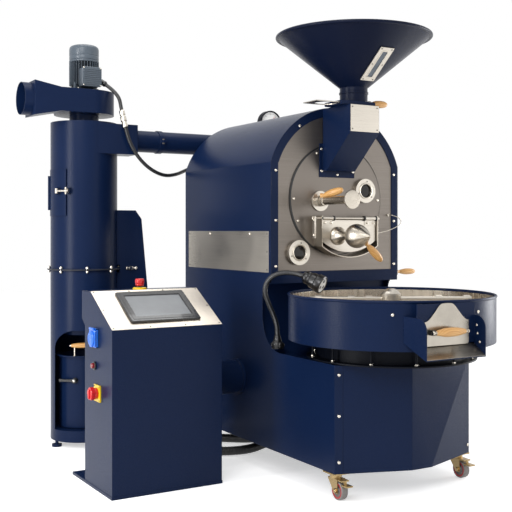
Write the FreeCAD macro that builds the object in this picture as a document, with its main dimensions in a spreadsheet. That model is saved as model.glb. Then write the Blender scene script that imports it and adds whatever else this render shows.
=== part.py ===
# Floor-standing drum coffee roaster with its cooling tray, chaff cyclone and control console.
# Millimetres, +Z up, front towards -Y. Pieces are drawn from the point on the floor below the middle
# of the roaster's front plate, then every node is moved so that the origin is the middle of the
# whole layout's footprint.
import FreeCAD, Part
import math
import os
import re
import Sketcher

doc = FreeCAD.newDocument("drum_roaster")
sheet = doc.addObject("Spreadsheet::Sheet", "dims")

sizes = {
    # roaster body
    "body_half_width": 350, "body_depth": 830, "sheet_wall": 3, "ground_clearance": 105,
    "frame_screw_low": 894, "frame_screw_middle": 1094, "frame_screw_high": 1311,
    "strip_screw_low": 150, "strip_screw_middle": 330, "strip_screw_high": 490,
    "spring_height": 1346, "crest_height": 1602, "recess_depth": 72, "recess_top": 842,
    "recess_low_radius": 150, "recess_high_radius": 72, "recess_inset": 28,
    "corner_reach": 472, "nose_reach": 577, "nose_half_width": 50,
    "left_edge_height": 528, "nose_edge_height": 507, "right_edge_height": 506,
    "deck_height": 503, "deck_inset": 9, "corner_strip": 34,
    # front frame, plate and cover
    "frame_width": 38, "beam_top": 870, "beam_height": 51, "beam_depth": 40, "plate_thickness": 4,
    "drum_height": 1190, "cover_radius": 247, "cover_front": 2, "cover_thickness": 8,
    "cover_gap": 1.5, "sight_x": 149, "sight_height": 1231, "port_x": -212,
    "port_rise": 83, "port_height": "=beam_top + port_rise",
    "ring_radius": 55, "glass_radius": 30, "ring_depth": 20,
    # sampling tube
    "trier_x": -93, "trier_height": 1181, "trier_radius": 17.5, "trier_reach": 235,
    "trier_disc_radius": 40, "trier_flange_radius": 45, "trier_grip_length": 110,
    # discharge spout and door
    "spout_x": 30, "spout_half_width": 155, "spout_radius": 261, "spout_reach": 62,
    "cheek_wall": 4, "hinge_height": 1104, "hinge_front": 52, "hinge_pin_radius": 5,
    "lock_x": -31, "lock_height": 1026, "lock_reach": 285, "weight_radius": 52,
    # hopper and feed chute
    "chute_top": 1592, "gate_channel": 9, "guide_plate": 4, "neck_length": 61, "hopper_rise": 225,
    "hopper_y": -125, "rim_radius": 336, "throat_radius": 58, "neck_radius": 61, "rim_bead": 7,
    "neck_bottom": "=chute_top + gate_channel + 2 * guide_plate",
    "throat_height": "=neck_bottom + neck_length", "rim_height": "=throat_height + hopper_rise",
    "chute_half_width": 78, "chute_reach": 205, "chute_front_bottom": 1473,
    "chute_low": 1316, "chute_foot": 30, "chute_flange_half": 96, "chute_flange_bottom": 1288,
    "gate_half_width": 52, "gate_length": 306, "gate_left": 231, "gate_hole_radius": 48,
    "gate_travel": 150, "window_length": 185, "window_width": 70, "window_rise": 86,
    "window_border": 22, "window_height": "=throat_height + window_rise",
    # cooling tray
    "tray_y": -381, "tray_radius": 425, "tray_bottom": 601, "tray_rim": 785, "tray_bead": 6,
    "tray_floor": 690, "plenum_radius": 306, "plenum_lift": 26, "collar_reach": 165, "chute_left": -230, "chute_right": 59,
    "chute_front": 866, "chute_lip_height": 580, "cheek_top": 738, "gate_y": -812,
    "gate_left_edge": -195, "gate_right_edge": 21, "gate_bottom": 626, "gate_top": 782,
    "grip_height": 678, "arm_height": 768, "arm_half_length": 334, "arm_radius": 9,
    "arm_angle": 149, "hub_radius": 42, "dome_top": 811, "agitator_shaft_radius": 15,
    # drum, drive and burner
    "drum_radius": 235, "drum_wall": 6, "drum_front": 22, "drive_room": 190,
    "drum_length": "=body_depth - drive_room - drum_front", "pulley_gap": 85,
    "drum_mouth_radius": 200, "shaft_radius": 22, "bearing_clearance": 0.05,
    "vane_depth": 32, "pulley_radius": 110, "pulley_width": 20,
    "pulley_y": "=drum_front + drum_length + pulley_gap",
    "motor_pulley_radius": 45, "motor_x": 190, "motor_height": 905, "belt_thickness": 6,
    "burner_height": 905, "burner_tube_radius": 14, "burner_pitch": 120, "gas_pipe_radius": 11,
    "gas_thread_radius": 13.4, "gas_thread_length": 45,
    # exhaust duct and gauge
    "pipe_gap": 61, "pipe_y": "=body_depth + pipe_gap", "pipe_height": 1497, "pipe_radius": 54, "pipe_wall": 2, "pipe_right": 235,
    "clamp_x": -487, "gauge_x": 186, "gauge_height": 1636, "gauge_radius": 63, "gauge_depth": 40,
    # cyclone, bin and fan
    "cyclone_x": -832, "cyclone_gap": 161, "cyclone_y": "=body_depth + cyclone_gap",
    "cyclone_radius": 163.5, "cyclone_wall": 3,
    "cyclone_bottom": 30, "cyclone_top": 1580, "flange_radius": 176, "flange_height": 855,
    "inlet_right": -613, "inlet_depth": 126, "inlet_front": "=pipe_y - inlet_depth / 2",
    "inlet_bottom": 1424, "inlet_top": 1571, "bin_heading": 19, "bin_radius": 121, "bin_flange_radius": 138,
    "bin_bottom": 85, "bin_top": 442, "mouth_half_width": 140, "mouth_bottom": "=bin_bottom",
    "mouth_top": 567, "mouth_clear": 76.5, "mouth_reach": "=cyclone_radius + mouth_clear",
    "door_low": 1120, "door_high": 1347, "door_start": 50, "door_end": 99,
    "fan_radius": 147, "fan_bottom": 1620, "fan_top": 1733, "fan_neck_radius": 72,
    "duct_left": -996, "flare_left": -1125, "fan_reach": 338, "collar_radius": 77.5,
    "collar_set": 66, "collar_y": "=cyclone_y - collar_set", "collar_height": 1675,
    "motor_radius": 73, "motor_bottom": 1762, "motor_top": 1968, "cowl_height": 71,
    "impeller_radius": 120, "stand_set": 86, "stand_front": "=cyclone_y - stand_set",
    "stand_depth": 172, "clamp_height": 323, "latch_height": 1240,
    "stand_top": 1151, "stand_shoulder": 1108, "stand_right_top": -592,
    "stand_right_shoulder": -560, "stand_right_bottom": -455,
    # cooling air outlet
    "outlet_y": 290, "outlet_height": 382, "outlet_radius": 75, "outlet_reach": 135,
    "blower_radius": 165, "riser_y": -300,
    # console
    "console_left": -1086, "console_width": 485, "console_front": -21, "console_back": 281,
    "ledge_back": 317, "ledge_front": 215, "ledge_height": 798, "desk_height": 661,
    "notch_low": 655, "notch_high": 682, "base_back": 372, "base_thickness": 12, "tab_spacing": 120,
    "screen_width": 309, "screen_length": 212, "screen_thickness": 10, "screen_left": 94,
    "screen_side": 31, "screen_end": 33, "screen_sunk": 2,
    "screen_offset": 36, "stop_x": -848, "stop_y": 262, "switch_y": 130, "switch_height": 395,
    "button_y": 162, "button_height": 502, "button_radius": 11, "socket_y": 162, "socket_height": 615,
    # lamp
    "lamp_x": -325, "lamp_y": -14, "lamp_foot": 540, "gooseneck_radius": 10, "lamp_radius": 37,
    # castors
    "front_castor_x": 317, "front_castor_y": -434, "rear_castor_x": 300, "rear_castor_set": 70,
    "rear_castor_y": "=body_depth - rear_castor_set",
    "wheel_radius": 37.5, "wheel_width": 30, "castor_trail": 26, "axle_radius": 6,
    # air rod
    "rod_y": 60, "rod_lift": 11, "rod_height": "=recess_top + rod_lift", "rod_radius": 8,
    "rod_travel": 60, "rod_reach": 155, "rod_grip_length": 115,
    # cords
    "cable_diameter": 18, "hose_diameter": 42, "conduit_box_x": 39, "conduit_box_bottom": 22,
    # fits
    "running_gap": 0.3, "bore_gap": 0.1,
}

for row, (alias, size) in enumerate(sizes.items(), 1):
    sheet.set("A%d" % row, alias)
    sheet.set("B%d" % row, str(size))
    sheet.setAlias("B%d" % row, alias)
doc.recompute()

shift_x = "0 - (cyclone_x - fan_reach + body_half_width + rod_reach) / 2"
shift_y = "(chute_front - cyclone_y - flange_radius) / 2"
turns = {"z": FreeCAD.Rotation(), "x": FreeCAD.Rotation(FreeCAD.Vector(0, 1, 0), 90),
         "y": FreeCAD.Rotation(FreeCAD.Vector(1, 0, 0), -90),
         "-x": FreeCAD.Rotation(FreeCAD.Vector(0, 1, 0), -90),
         "-y": FreeCAD.Rotation(FreeCAD.Vector(1, 0, 0), 90)}
placed = {}
nodes = []


def value(text):
    """A number worked out from an expression in the sheet's names."""
    words = re.sub(r"[a-z][a-z_]*", lambda word: repr(float(sheet.get(word[0])))
                   if word[0] in sizes else word[0], text)
    return float(FreeCAD.Units.Quantity(words).Value)


def bind(obj, prop, text):
    """Tie a property to an expression in the sheet's names, or set a worked-out number."""
    if isinstance(text, (int, float)):
        text = repr(float(text))
    text = re.sub(r"[a-z][a-z_]*", lambda word: "dims." + word[0] if word[0] in sizes else word[0],
                  text)
    obj.setExpression(prop, text)


def place(obj, at=("0", "0", "0"), along="z"):
    """Bind the three coordinates of an object's own origin and turn its Z axis."""
    rotation = turns[along] if isinstance(along, str) else along
    obj.Placement = FreeCAD.Placement(FreeCAD.Vector(0, 0, 0), rotation)
    placed[obj.Name] = at
    for axis, text in zip("xyz", at):
        bind(obj, "Placement.Base." + axis, text)
    return obj


def box(name, length, width, height, at, along="z"):
    obj = doc.addObject("Part::Box", name)
    for prop, text in (("Length", length), ("Width", width), ("Height", height)):
        bind(obj, prop, text)
    return place(obj, at, along)


def cylinder(name, radius, height, at, along="z"):
    obj = doc.addObject("Part::Cylinder", name)
    bind(obj, "Radius", radius)
    bind(obj, "Height", height)
    return place(obj, at, along)


def cone(name, low, high, height, at, along="z"):
    obj = doc.addObject("Part::Cone", name)
    bind(obj, "Radius1", low)
    bind(obj, "Radius2", high)
    bind(obj, "Height", height)
    return place(obj, at, along)


def torus(name, ring, bead, at, along="z"):
    obj = doc.addObject("Part::Torus", name)
    bind(obj, "Radius1", ring)
    bind(obj, "Radius2", bead)
    return place(obj, at, along)


def sphere(name, radius, at):
    obj = doc.addObject("Part::Sphere", name)
    bind(obj, "Radius", radius)
    return place(obj, at)


def fuse(name, *shapes):
    obj = doc.addObject("Part::MultiFuse", name)
    obj.Shapes = list(shapes)
    return place(obj)


def common(name, *shapes):
    obj = doc.addObject("Part::MultiCommon", name)
    obj.Shapes = list(shapes)
    return place(obj)


def group(name, *shapes):
    """Separate solids that share one node."""
    obj = doc.addObject("Part::Compound", name)
    obj.Links = list(shapes)
    return place(obj)


def cut(name, base, *tools):
    obj = doc.addObject("Part::Cut", name)
    obj.Base = base
    obj.Tool = tools[0] if len(tools) == 1 else fuse(name + "_tools", *tools)
    return place(obj)


def tube(name, radius, wall, length, at, along="z"):
    """A round pipe, open at both ends."""
    outside = cylinder(name + "_outside", radius, length, at, along)
    inside = cylinder(name + "_inside", "(%s) - (%s)" % (radius, wall), length, at, along)
    return cut(name, outside, inside)


def solid(name, shape, at=("0", "0", "0")):
    """A shape worked out with Part's own functions."""
    obj = doc.addObject("Part::Feature", name)
    obj.Shape = shape if shape.Placement.isIdentity() else Part.makeCompound([shape])
    return place(obj, at)


def profile(name, plane, corners, thickness, at=("0", "0", "0"), rounds=()):
    """A padded outline: each corner's two distances are bound to the sheet. Rounds are
    (corner number, radius) pairs for the edges that run through the thickness."""
    body = doc.addObject("PartDesign::Body", name)
    base = [item for item in body.Origin.OriginFeatures if item.Role == plane + "_Plane"][0]
    sketch = body.newObject("Sketcher::SketchObject", name + "_outline")
    sketch.AttachmentSupport = [(base, "")]
    sketch.MapMode = "FlatFace"
    ends = [FreeCAD.Vector(value(across), value(up), 0) for across, up in corners]
    count = len(ends)
    for index in range(count):
        sketch.addGeometry(Part.LineSegment(ends[index], ends[(index + 1) % count]), False)
    for index in range(count):
        sketch.addConstraint(Sketcher.Constraint("Coincident", index, 2, (index + 1) % count, 1))
    for index, (across, up) in enumerate(corners):
        for kind, text in (("DistanceX", across), ("DistanceY", up)):
            size = value(text)
            number = sketch.addConstraint(Sketcher.Constraint(kind, -1, 1, index, 1, size))
            bind(sketch, "Constraints[%d]" % number, text)
    pad = body.newObject("PartDesign::Pad", name + "_pad")
    pad.Profile = sketch
    bind(pad, "Length", thickness)
    last = pad
    for number, (corner, radius) in enumerate(rounds):
        place(body)
        doc.recompute()
        edge = edge_through(body.Shape, plane, ends[corner])
        fillet = body.newObject("PartDesign::Fillet", "%s_round_%d" % (name, number))
        fillet.Base = (last, [edge])
        bind(fillet, "Radius", radius)
        body.Tip = fillet
        last = fillet
    return place(body, at)


def edge_through(shape, plane, corner):
    """The name of the straight edge that crosses the sketch plane at a corner."""
    axes = {"XY": ("x", "y"), "XZ": ("x", "z"), "YZ": ("y", "z")}[plane]

    def miss(edge):
        spread = [abs(getattr(point.Point, axes[0]) - corner.x)
                  + abs(getattr(point.Point, axes[1]) - corner.y) for point in edge.Vertexes]
        return max(spread)
    best = min(range(len(shape.Edges)), key=lambda index: miss(shape.Edges[index]))
    return "Edge%d" % (best + 1)


def node(label, obj):
    """Name a finished sub-part and move it from the roaster's own frame to the layout's."""
    obj.Label = label
    across, forward, up = placed[obj.Name]
    bind(obj, "Placement.Base.x", "%s + (%s)" % (across, shift_x))
    bind(obj, "Placement.Base.y", "%s + (%s)" % (forward, shift_y))
    nodes.append(obj)
    return obj


def around(angle):
    """Unit direction in the floor plane, from -Y (the front) towards -X (the left)."""
    turn = math.radians(angle)
    return -math.sin(turn), -math.cos(turn)


def lying(across, forward, up=0.0):
    """Rotation that lays an object's Z axis along a direction."""
    return FreeCAD.Rotation(FreeCAD.Vector(0, 0, 1), FreeCAD.Vector(across, forward, up))


def rounded_route(title, points, diameter):
    """A cord's solid: straight runs joined by tangent arcs, each arc as large as its runs allow."""
    corners = [FreeCAD.Vector(*point) for point in points]
    start = corners[0]
    edges = []
    radii = []
    for before, corner, after in zip(corners, corners[1:], corners[2:]):
        inward = (corner - before).normalize()
        outward = (after - corner).normalize()
        turn = inward.getAngle(outward)
        back = 0.45 * min((corner - before).Length, (after - corner).Length)
        radius = back / math.tan(turn / 2)
        bisector = (outward - inward).normalize()
        centre = corner + bisector * (radius / math.cos(turn / 2))
        first = corner - inward * back
        last = corner + outward * back
        edges.append(Part.LineSegment(start, first).toShape())
        edges.append(Part.Arc(first, centre - bisector * radius, last).toShape())
        start = last
        radii.append(radius)
    edges.append(Part.LineSegment(start, corners[-1]).toShape())
    path = Part.Wire(edges)
    heading = corners[1] - corners[0]
    section = Part.Wire([Part.makeCircle(diameter / 2.0, corners[0], heading)])
    shape = path.makePipeShell([section], True, False)
    wanted = math.pi * diameter ** 2 / 4 * path.Length
    print("%s: length %.0f mm, tightest arc %.0f mm, volume over section times length %.4f"
          % (title, path.Length, min(radii), shape.Volume / wanted))
    return shape


# casing

roof_rise = "(crest_height - spring_height)"
roof_radius = "((body_half_width^2 + %s^2) / (2 * %s))" % (roof_rise, roof_rise)
roof_centre = "(crest_height - %s)" % roof_radius


def arch_slab(name, inset, front, thickness, bottom):
    """An upright slab with the casing's arched outline, drawn in by an inset."""
    legs = box(name + "_legs", "2 * (body_half_width - %s)" % inset, thickness,
               "spring_height - (%s)" % bottom, ("0 - body_half_width + %s" % inset, front, bottom))
    disc = cylinder(name + "_disc", "%s - %s" % (roof_radius, inset), thickness,
                    ("0", front, roof_centre), "y")
    above = box(name + "_above", "2 * body_half_width", thickness, roof_rise,
                ("0 - body_half_width", front, "spring_height"))
    return fuse(name, legs, common(name + "_arch", disc, above))


def side_panel(label, edge_height, at_x):
    back = "body_depth"
    corners = [("0 - corner_reach", "ground_clearance"), ("0 - corner_reach", edge_height),
               ("recess_depth", edge_height), ("recess_depth", "recess_top"), ("0", "recess_top"),
               ("0", "spring_height"), (back, "spring_height"), (back, "ground_clearance")]
    return profile(label, "YZ", corners, "sheet_wall", (at_x, "0", "0"),
                   ((2, "recess_low_radius"), (3, "recess_high_radius - 0.5")))


left_sheet = side_panel("left_sheet", "left_edge_height", "0 - body_half_width")
left_hole = cylinder("left_outlet_hole", "outlet_radius + 1", "sheet_wall",
                     ("0 - body_half_width", "outlet_y", "outlet_height"), "x")


def corner_strip(name):
    """The narrow flange of the left side sheet, folded round the base's front corner."""
    run = FreeCAD.Vector(value("body_half_width - nose_half_width"),
                         value("corner_reach - nose_reach"), 0).normalize()
    start = FreeCAD.Vector(value("0 - body_half_width"), value("0 - corner_reach"),
                           value("ground_clearance"))
    end = start + run * value("corner_strip")
    drop = value("nose_edge_height - left_edge_height") * value("corner_strip") \
        / value("body_half_width - nose_half_width")
    high = value("left_edge_height - ground_clearance")
    up = FreeCAD.Vector(0, 0, high)
    outline = Part.makePolygon([start, end, end + up + FreeCAD.Vector(0, 0, drop), start + up,
                                start])
    return solid(name, Part.Face(outline).extrude(FreeCAD.Vector(0, value("sheet_wall"), 0)))


lamp_tab = box("lamp_tab", "lamp_x + 24 + body_half_width", "44", "sheet_wall",
               ("0 - body_half_width", "lamp_y - 22", "lamp_foot - sheet_wall"))
node("side_panel_left", fuse("left_side", cut("left_sheet_cut", left_sheet, left_hole),
                             corner_strip("left_strip"), lamp_tab))
right_sheet = side_panel("right_sheet", "right_edge_height", "body_half_width - sheet_wall")
right_hole = cylinder("right_rod_hole", "rod_radius + bore_gap", "sheet_wall",
                      ("body_half_width - sheet_wall", "rod_y", "rod_height"), "x")
node("side_panel_right", cut("right_side", right_sheet, right_hole))

roof_outside = cylinder("roof_outside", roof_radius, "body_depth", ("0", "0", roof_centre), "y")
roof_inside = cylinder("roof_inside", roof_radius + " - sheet_wall", "body_depth",
                       ("0", "0", roof_centre), "y")
roof_above = box("roof_above", "2 * body_half_width", "body_depth", roof_rise,
                 ("0 - body_half_width", "0", "spring_height"))
node("roof_shell", common("roof", cut("roof_ring", roof_outside, roof_inside), roof_above))

rear_slab = arch_slab("rear_slab", "sheet_wall", "body_depth - sheet_wall", "sheet_wall",
                      "ground_clearance")
gas_hole = cylinder("gas_hole", "gas_pipe_radius + 1", "sheet_wall",
                    ("0", "body_depth - sheet_wall", "burner_height"), "y")
cable_gland = cylinder("cable_gland", "14", "12", ("-145", "body_depth", "1400"), "y")
node("rear_panel", fuse("rear", cut("rear_sheet", rear_slab, gas_hole), cable_gland))

frame_outer = arch_slab("frame_outer", "sheet_wall", "0", "sheet_wall", "beam_top")
frame_inner = arch_slab("frame_inner", "frame_width", "0", "sheet_wall", "beam_top")
beam_outside = box("beam_outside", "2 * (body_half_width - sheet_wall)", "beam_depth", "beam_height",
                   ("0 - body_half_width + sheet_wall", "0", "beam_top - beam_height"))
beam_inside = box("beam_inside", "2 * (body_half_width - sheet_wall)", "beam_depth - 2 * sheet_wall",
                  "beam_height - 2 * sheet_wall",
                  ("0 - body_half_width + sheet_wall", "sheet_wall",
                   "beam_top - beam_height + sheet_wall"))
node("front_frame", fuse("frame", cut("frame_band", frame_outer, frame_inner),
                         cut("beam", beam_outside, beam_inside)))

plate_slab = arch_slab("plate_slab", "sheet_wall", "sheet_wall", "plate_thickness", "beam_top")
cover_opening = cylinder("cover_opening", "cover_radius + cover_gap", "plate_thickness",
                         ("0", "sheet_wall", "drum_height"), "y")
port_opening = cylinder("port_opening", "glass_radius", "plate_thickness",
                        ("port_x", "sheet_wall", "port_height"), "y")
node("front_plate", cut("plate", plate_slab, cover_opening, port_opening))


def drum_cover():
    """The round cover of the drum with the discharge spout welded round its mouth."""
    disc = cylinder("cover_disc", "cover_radius", "cover_thickness",
                    ("0", "cover_front", "drum_height"), "y")
    seat = cylinder("cover_seat", "cover_radius + 6", "cover_thickness - plate_thickness - 1",
                    ("0", "sheet_wall + plate_thickness", "drum_height"), "y")
    sight = cylinder("cover_sight_hole", "glass_radius", "cover_thickness + 2",
                     ("sight_x", "cover_front - 1", "sight_height"), "y")
    trier = cylinder("cover_trier_hole", "trier_radius + 3", "cover_thickness + 2",
                     ("trier_x", "cover_front - 1", "trier_height"), "y")
    mouth = box("cover_mouth", "2 * spout_half_width - 60", "cover_thickness + 2", "100",
                ("spout_x - spout_half_width + 30", "cover_front - 1", "985"))
    feed = box("cover_feed_hole", "2 * chute_half_width - 20", "cover_thickness + 2", "60",
               ("10 - chute_half_width", "cover_front - 1", "chute_low + 8"))
    cheeks = []
    for side in (-1, 1):
        inner = "spout_x + %d * spout_half_width" % side
        start = inner if side < 0 else inner + " - cheek_wall"
        blank = box("cheek_blank_%d" % side, "cheek_wall", "spout_reach + cover_front",
                    "215", (start, "0 - spout_reach", "900"))
        reach = cylinder("cheek_reach_%d" % side, "spout_radius", "spout_reach + cover_front",
                         ("spout_x", "0 - spout_reach", "drum_height"), "y")
        cheeks.append(common("cheek_%d" % side, blank, reach))
    ring = tube("lip_ring", "spout_radius", "cheek_wall", "spout_reach + cover_front",
                ("spout_x", "0 - spout_reach", "drum_height"), "y")
    span = box("lip_span", "2 * spout_half_width", "spout_reach + cover_front", "200",
               ("spout_x - spout_half_width", "0 - spout_reach", "drum_height - spout_radius"))
    body = fuse("cover_body", disc, seat, common("lip", ring, span), *cheeks)
    pin = cylinder("hinge_bore", "hinge_pin_radius + bore_gap", "2 * spout_half_width + 4",
                   ("spout_x - spout_half_width - 2", "0 - hinge_front", "hinge_height"), "x")
    return cut("cover", body, sight, trier, mouth, feed, pin)


node("drum_cover", drum_cover())


def recess_panel():
    """The curved inner sheet of the recess and the flat deck that carries the tray."""
    width = "2 * (body_half_width - sheet_wall)"
    left = "0 - body_half_width + sheet_wall"
    back = "(recess_depth + recess_inset)"
    low = "(left_edge_height + recess_low_radius)"
    high = "(recess_top - recess_high_radius)"
    low_radius = "(%s - deck_height)" % low
    high_radius = "(recess_high_radius + recess_inset)"
    low_y = "(%s - %s)" % (back, low_radius)
    low_ring = cut("recess_low_ring",
                   cylinder("recess_low_out", low_radius + " + sheet_wall", width,
                            (left, low_y, low), "x"),
                   cylinder("recess_low_in", low_radius, width, (left, low_y, low), "x"))
    low_quarter = box("recess_low_quarter", width, low_radius + " + sheet_wall",
                      low_radius + " + sheet_wall",
                      (left, low_y, "%s - %s - sheet_wall" % (low, low_radius)))
    high_ring = cut("recess_high_ring",
                    cylinder("recess_high_out", high_radius + " + sheet_wall", width,
                             (left, "0", high), "x"),
                    cylinder("recess_high_in", high_radius, width, (left, "0", high), "x"))
    high_quarter = box("recess_high_quarter", width, high_radius + " - beam_depth + sheet_wall",
                       high_radius + " + sheet_wall", (left, "beam_depth", high))
    wall = box("recess_wall", width, "sheet_wall", "%s - %s" % (high, low), (left, back, low))
    corners = [("0 - body_half_width + sheet_wall", low_y),
               ("0 - body_half_width + sheet_wall", "deck_inset - corner_reach"),
               ("0 - nose_half_width", "deck_inset - nose_reach"),
               ("body_half_width - sheet_wall", "deck_inset - corner_reach"),
               ("body_half_width - sheet_wall", low_y)]
    deck = profile("deck", "XY", corners, "sheet_wall", ("0", "0", "deck_height - sheet_wall"))
    slot = box("recess_rod_slot", "80", "2 * (rod_radius + 8)", "60",
               ("body_half_width - sheet_wall - 80", "rod_y - rod_radius - 8", "rod_height - 24"))
    air_hole = cylinder("deck_air_hole", "57", "20", ("-60", "riser_y", "deck_height - 10"))
    return cut("recess", fuse("recess_sheets", deck, wall,
                              common("recess_low", low_ring, low_quarter),
                              common("recess_high", high_ring, high_quarter)), slot, air_hole)


node("recess_panel", recess_panel())


def base_front_panels():
    """The folded front sheets of the base: a flat one to the left of the nose, and two sloping
    triangles with a narrow third between them to its right."""
    low = value("ground_clearance")
    wall = FreeCAD.Vector(0, value("sheet_wall"), 0)
    left = FreeCAD.Vector(value("0 - body_half_width"), value("0 - corner_reach"), low)
    nose_left = FreeCAD.Vector(value("0 - nose_half_width"), value("0 - nose_reach"), low)
    nose_right = FreeCAD.Vector(value("nose_half_width"), value("0 - nose_reach"), low)
    right = FreeCAD.Vector(value("body_half_width - sheet_wall"), value("0 - corner_reach"), low)
    run = nose_left - left
    share = (value("corner_strip") + 1) / run.Length
    start = left + run * share
    start_top = value("left_edge_height") \
        + value("nose_edge_height - left_edge_height") * share
    nose_top = FreeCAD.Vector(nose_left.x, nose_left.y, value("nose_edge_height"))
    right_top = FreeCAD.Vector(right.x, right.y, value("right_edge_height"))

    def sheet_of(*points):
        return Part.Face(Part.makePolygon(list(points) + [points[0]])).extrude(wall)
    flat = sheet_of(start, nose_left, nose_top, FreeCAD.Vector(start.x, start.y, start_top))
    narrow = sheet_of(nose_left, nose_right, nose_top)
    sloping = sheet_of(nose_top, nose_right, right_top)
    corner = sheet_of(nose_right, right, right_top)
    return solid("base_sheets", flat.fuse([narrow, sloping, corner]))


node("base_front_panels", base_front_panels())


def chassis():
    """Welded floor pan with rails, the castor plates and the box where the conduits enter."""
    inner = "(body_half_width - sheet_wall)"
    corners = [("0 - " + inner, "body_depth - sheet_wall"), ("0 - " + inner, "sheet_wall - corner_reach"),
               ("0 - nose_half_width", "sheet_wall - nose_reach"),
               ("nose_half_width", "sheet_wall - nose_reach"), (inner, "sheet_wall - corner_reach"),
               (inner, "body_depth - sheet_wall")]
    pan = profile("pan", "XY", corners, "sheet_wall", ("0", "0", "ground_clearance"))
    rails = []
    for number, left in enumerate(("0 - %s" % inner, inner + " - 40")):
        rails.append(box("rail_%d" % number, "40", "corner_reach + body_depth - 30", "40",
                         (left, "20 - corner_reach", "ground_clearance + sheet_wall")))
    for number, back in enumerate(("20 - corner_reach", "190", "body_depth - 60")):
        rails.append(box("cross_rail_%d" % number, "2 * " + inner, "40", "40",
                         ("0 - " + inner, back, "ground_clearance + sheet_wall")))
    entry = box("conduit_box", "130", "130", "ground_clearance - conduit_box_bottom",
                ("conduit_box_x", "350", "conduit_box_bottom"))
    return fuse("chassis_weldment", pan, entry, *rails)


node("chassis", chassis())
blank_side = box("blank_side", "1.5", "773", "180", ("0 - body_half_width - 1.5", "17", "867"))
blank_chute = box("blank_chute", "152", "1.5", "116",
                  ("-76", "0 - chute_reach - 1.5", "chute_front_bottom + 2"))
node("blank_plates", group("blanks", blank_side, blank_chute))


def dome_screws():
    """Dome-headed screws of the casing, all of one size."""
    heads = []

    def head(at, along):
        heads.append(cylinder("screw_%d" % len(heads), "6.5", "4", at, along))
    for height in ("frame_screw_low", "frame_screw_middle", "frame_screw_high"):
        for side in (-1, 1):
            head(("%d * (body_half_width - 25)" % side, "0", height), "-y")
    for side in (-1, 1):
        head(("%d * 201" % side, "0", "crest_height - 92"), "-y")
    for angle in (0, 180, 62, 118, 205, 335):
        turn = math.radians(angle)
        head(("231 * %.4f" % math.cos(turn), "cover_front",
              "drum_height + 231 * %.4f" % math.sin(turn)), "-y")
    for across, height in ((-86, 1414), (86, 1414), (-86, 1316), (86, 1316), (0, 1301)):
        head((str(across), "-2", str(height)), "-y")
    for height in ("strip_screw_low", "strip_screw_middle", "strip_screw_high"):
        head(("0 - body_half_width + 17", "0 - corner_reach - 8.4", height), "-y")
    head(("body_half_width - 12", "0 - corner_reach - 5.5", "140"), "-y")
    for forward in (180, 560):
        head(("0 - body_half_width - 1.5", str(forward), "1034"), "-x")
    return group("screws", *heads)


node("panel_screws", dome_screws())

# hopper, slide gate and feed chute


def hopper():
    height = "rim_height - throat_height"
    at = ("0", "hopper_y", "throat_height")
    shell = cut("hopper_shell", cone("hopper_outside", "throat_radius", "rim_radius", height, at),
                cone("hopper_inside", "throat_radius - 4", "rim_radius - 4", height, at))
    rim = torus("hopper_rim", "rim_radius", "rim_bead", ("0", "hopper_y", "rim_height"))
    neck = cut("hopper_neck",
               cylinder("neck_outside", "neck_radius", "throat_height + 4 - neck_bottom",
                        ("0", "hopper_y", "neck_bottom")),
               cylinder("neck_inside", "throat_radius - 4", "throat_height + 4 - neck_bottom",
                        ("0", "hopper_y", "neck_bottom")))
    collar = cut("neck_collar",
                 cylinder("collar_outside", "neck_radius + 3", "8", ("0", "hopper_y", "throat_height - 24")),
                 cylinder("collar_inside", "throat_radius - 4", "8", ("0", "hopper_y", "throat_height - 24")))
    return fuse("hopper_body", shell, rim, neck, collar)


node("hopper", hopper())

cone_slope = math.atan2(value("rim_radius - throat_radius"), value("rim_height - throat_height"))
window_centre_radius = value("throat_radius + (rim_radius - throat_radius) "
                             "* (window_height - throat_height) / (rim_height - throat_height)")


def window_slab(width, length, thickness, lift):
    """A flat rectangle lying on the front of the hopper's cone, lifted off along the normal."""
    shape = Part.makeBox(width, length, thickness,
                         FreeCAD.Vector(-width / 2.0, -length / 2.0, 0))
    shape.rotate(FreeCAD.Vector(0, 0, 0), FreeCAD.Vector(1, 0, 0), 90 + math.degrees(cone_slope))
    normal = FreeCAD.Vector(0, -math.cos(cone_slope), -math.sin(cone_slope))
    middle = FreeCAD.Vector(0, value("hopper_y") - window_centre_radius, value("window_height"))
    shape.translate(middle + normal * lift)
    return shape


front_rings = []
hopper_frame = window_slab(value("window_width"), value("window_length"), 4, 0.5)
hopper_hole = window_slab(value("window_width - 2 * window_border"),
                          value("window_length - 2 * window_border"), 8, -1)
front_rings.append(solid("hopper_frame", hopper_frame.cut(hopper_hole)))
for tag, across, height, front in (("sight", "sight_x", "sight_height", "cover_front"),
                                   ("port", "port_x", "port_height", "sheet_wall")):
    ring = cylinder(tag + "_ring", "ring_radius", "ring_depth",
                    (across, "%s - ring_depth" % front, height), "y")
    bore = cylinder(tag + "_bore", "glass_radius", "ring_depth",
                    (across, "%s - ring_depth" % front, height), "y")
    front_rings.append(cut(tag + "_mount", ring, bore))
trier_flange = cylinder("trier_flange", "trier_flange_radius", "8",
                        ("trier_x", "cover_front - 8", "trier_height"), "y")
trier_sleeve = cylinder("trier_sleeve", "trier_radius + 7", "8",
                        ("trier_x", "cover_front - 16", "trier_height"), "y")
trier_bore = cylinder("trier_bore", "trier_radius + bore_gap", "20",
                      ("trier_x", "cover_front - 18", "trier_height"), "y")
front_rings.append(cut("trier_mount", fuse("trier_boss", trier_flange, trier_sleeve), trier_bore))
node("front_rings", group("rings", *front_rings))

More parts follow.
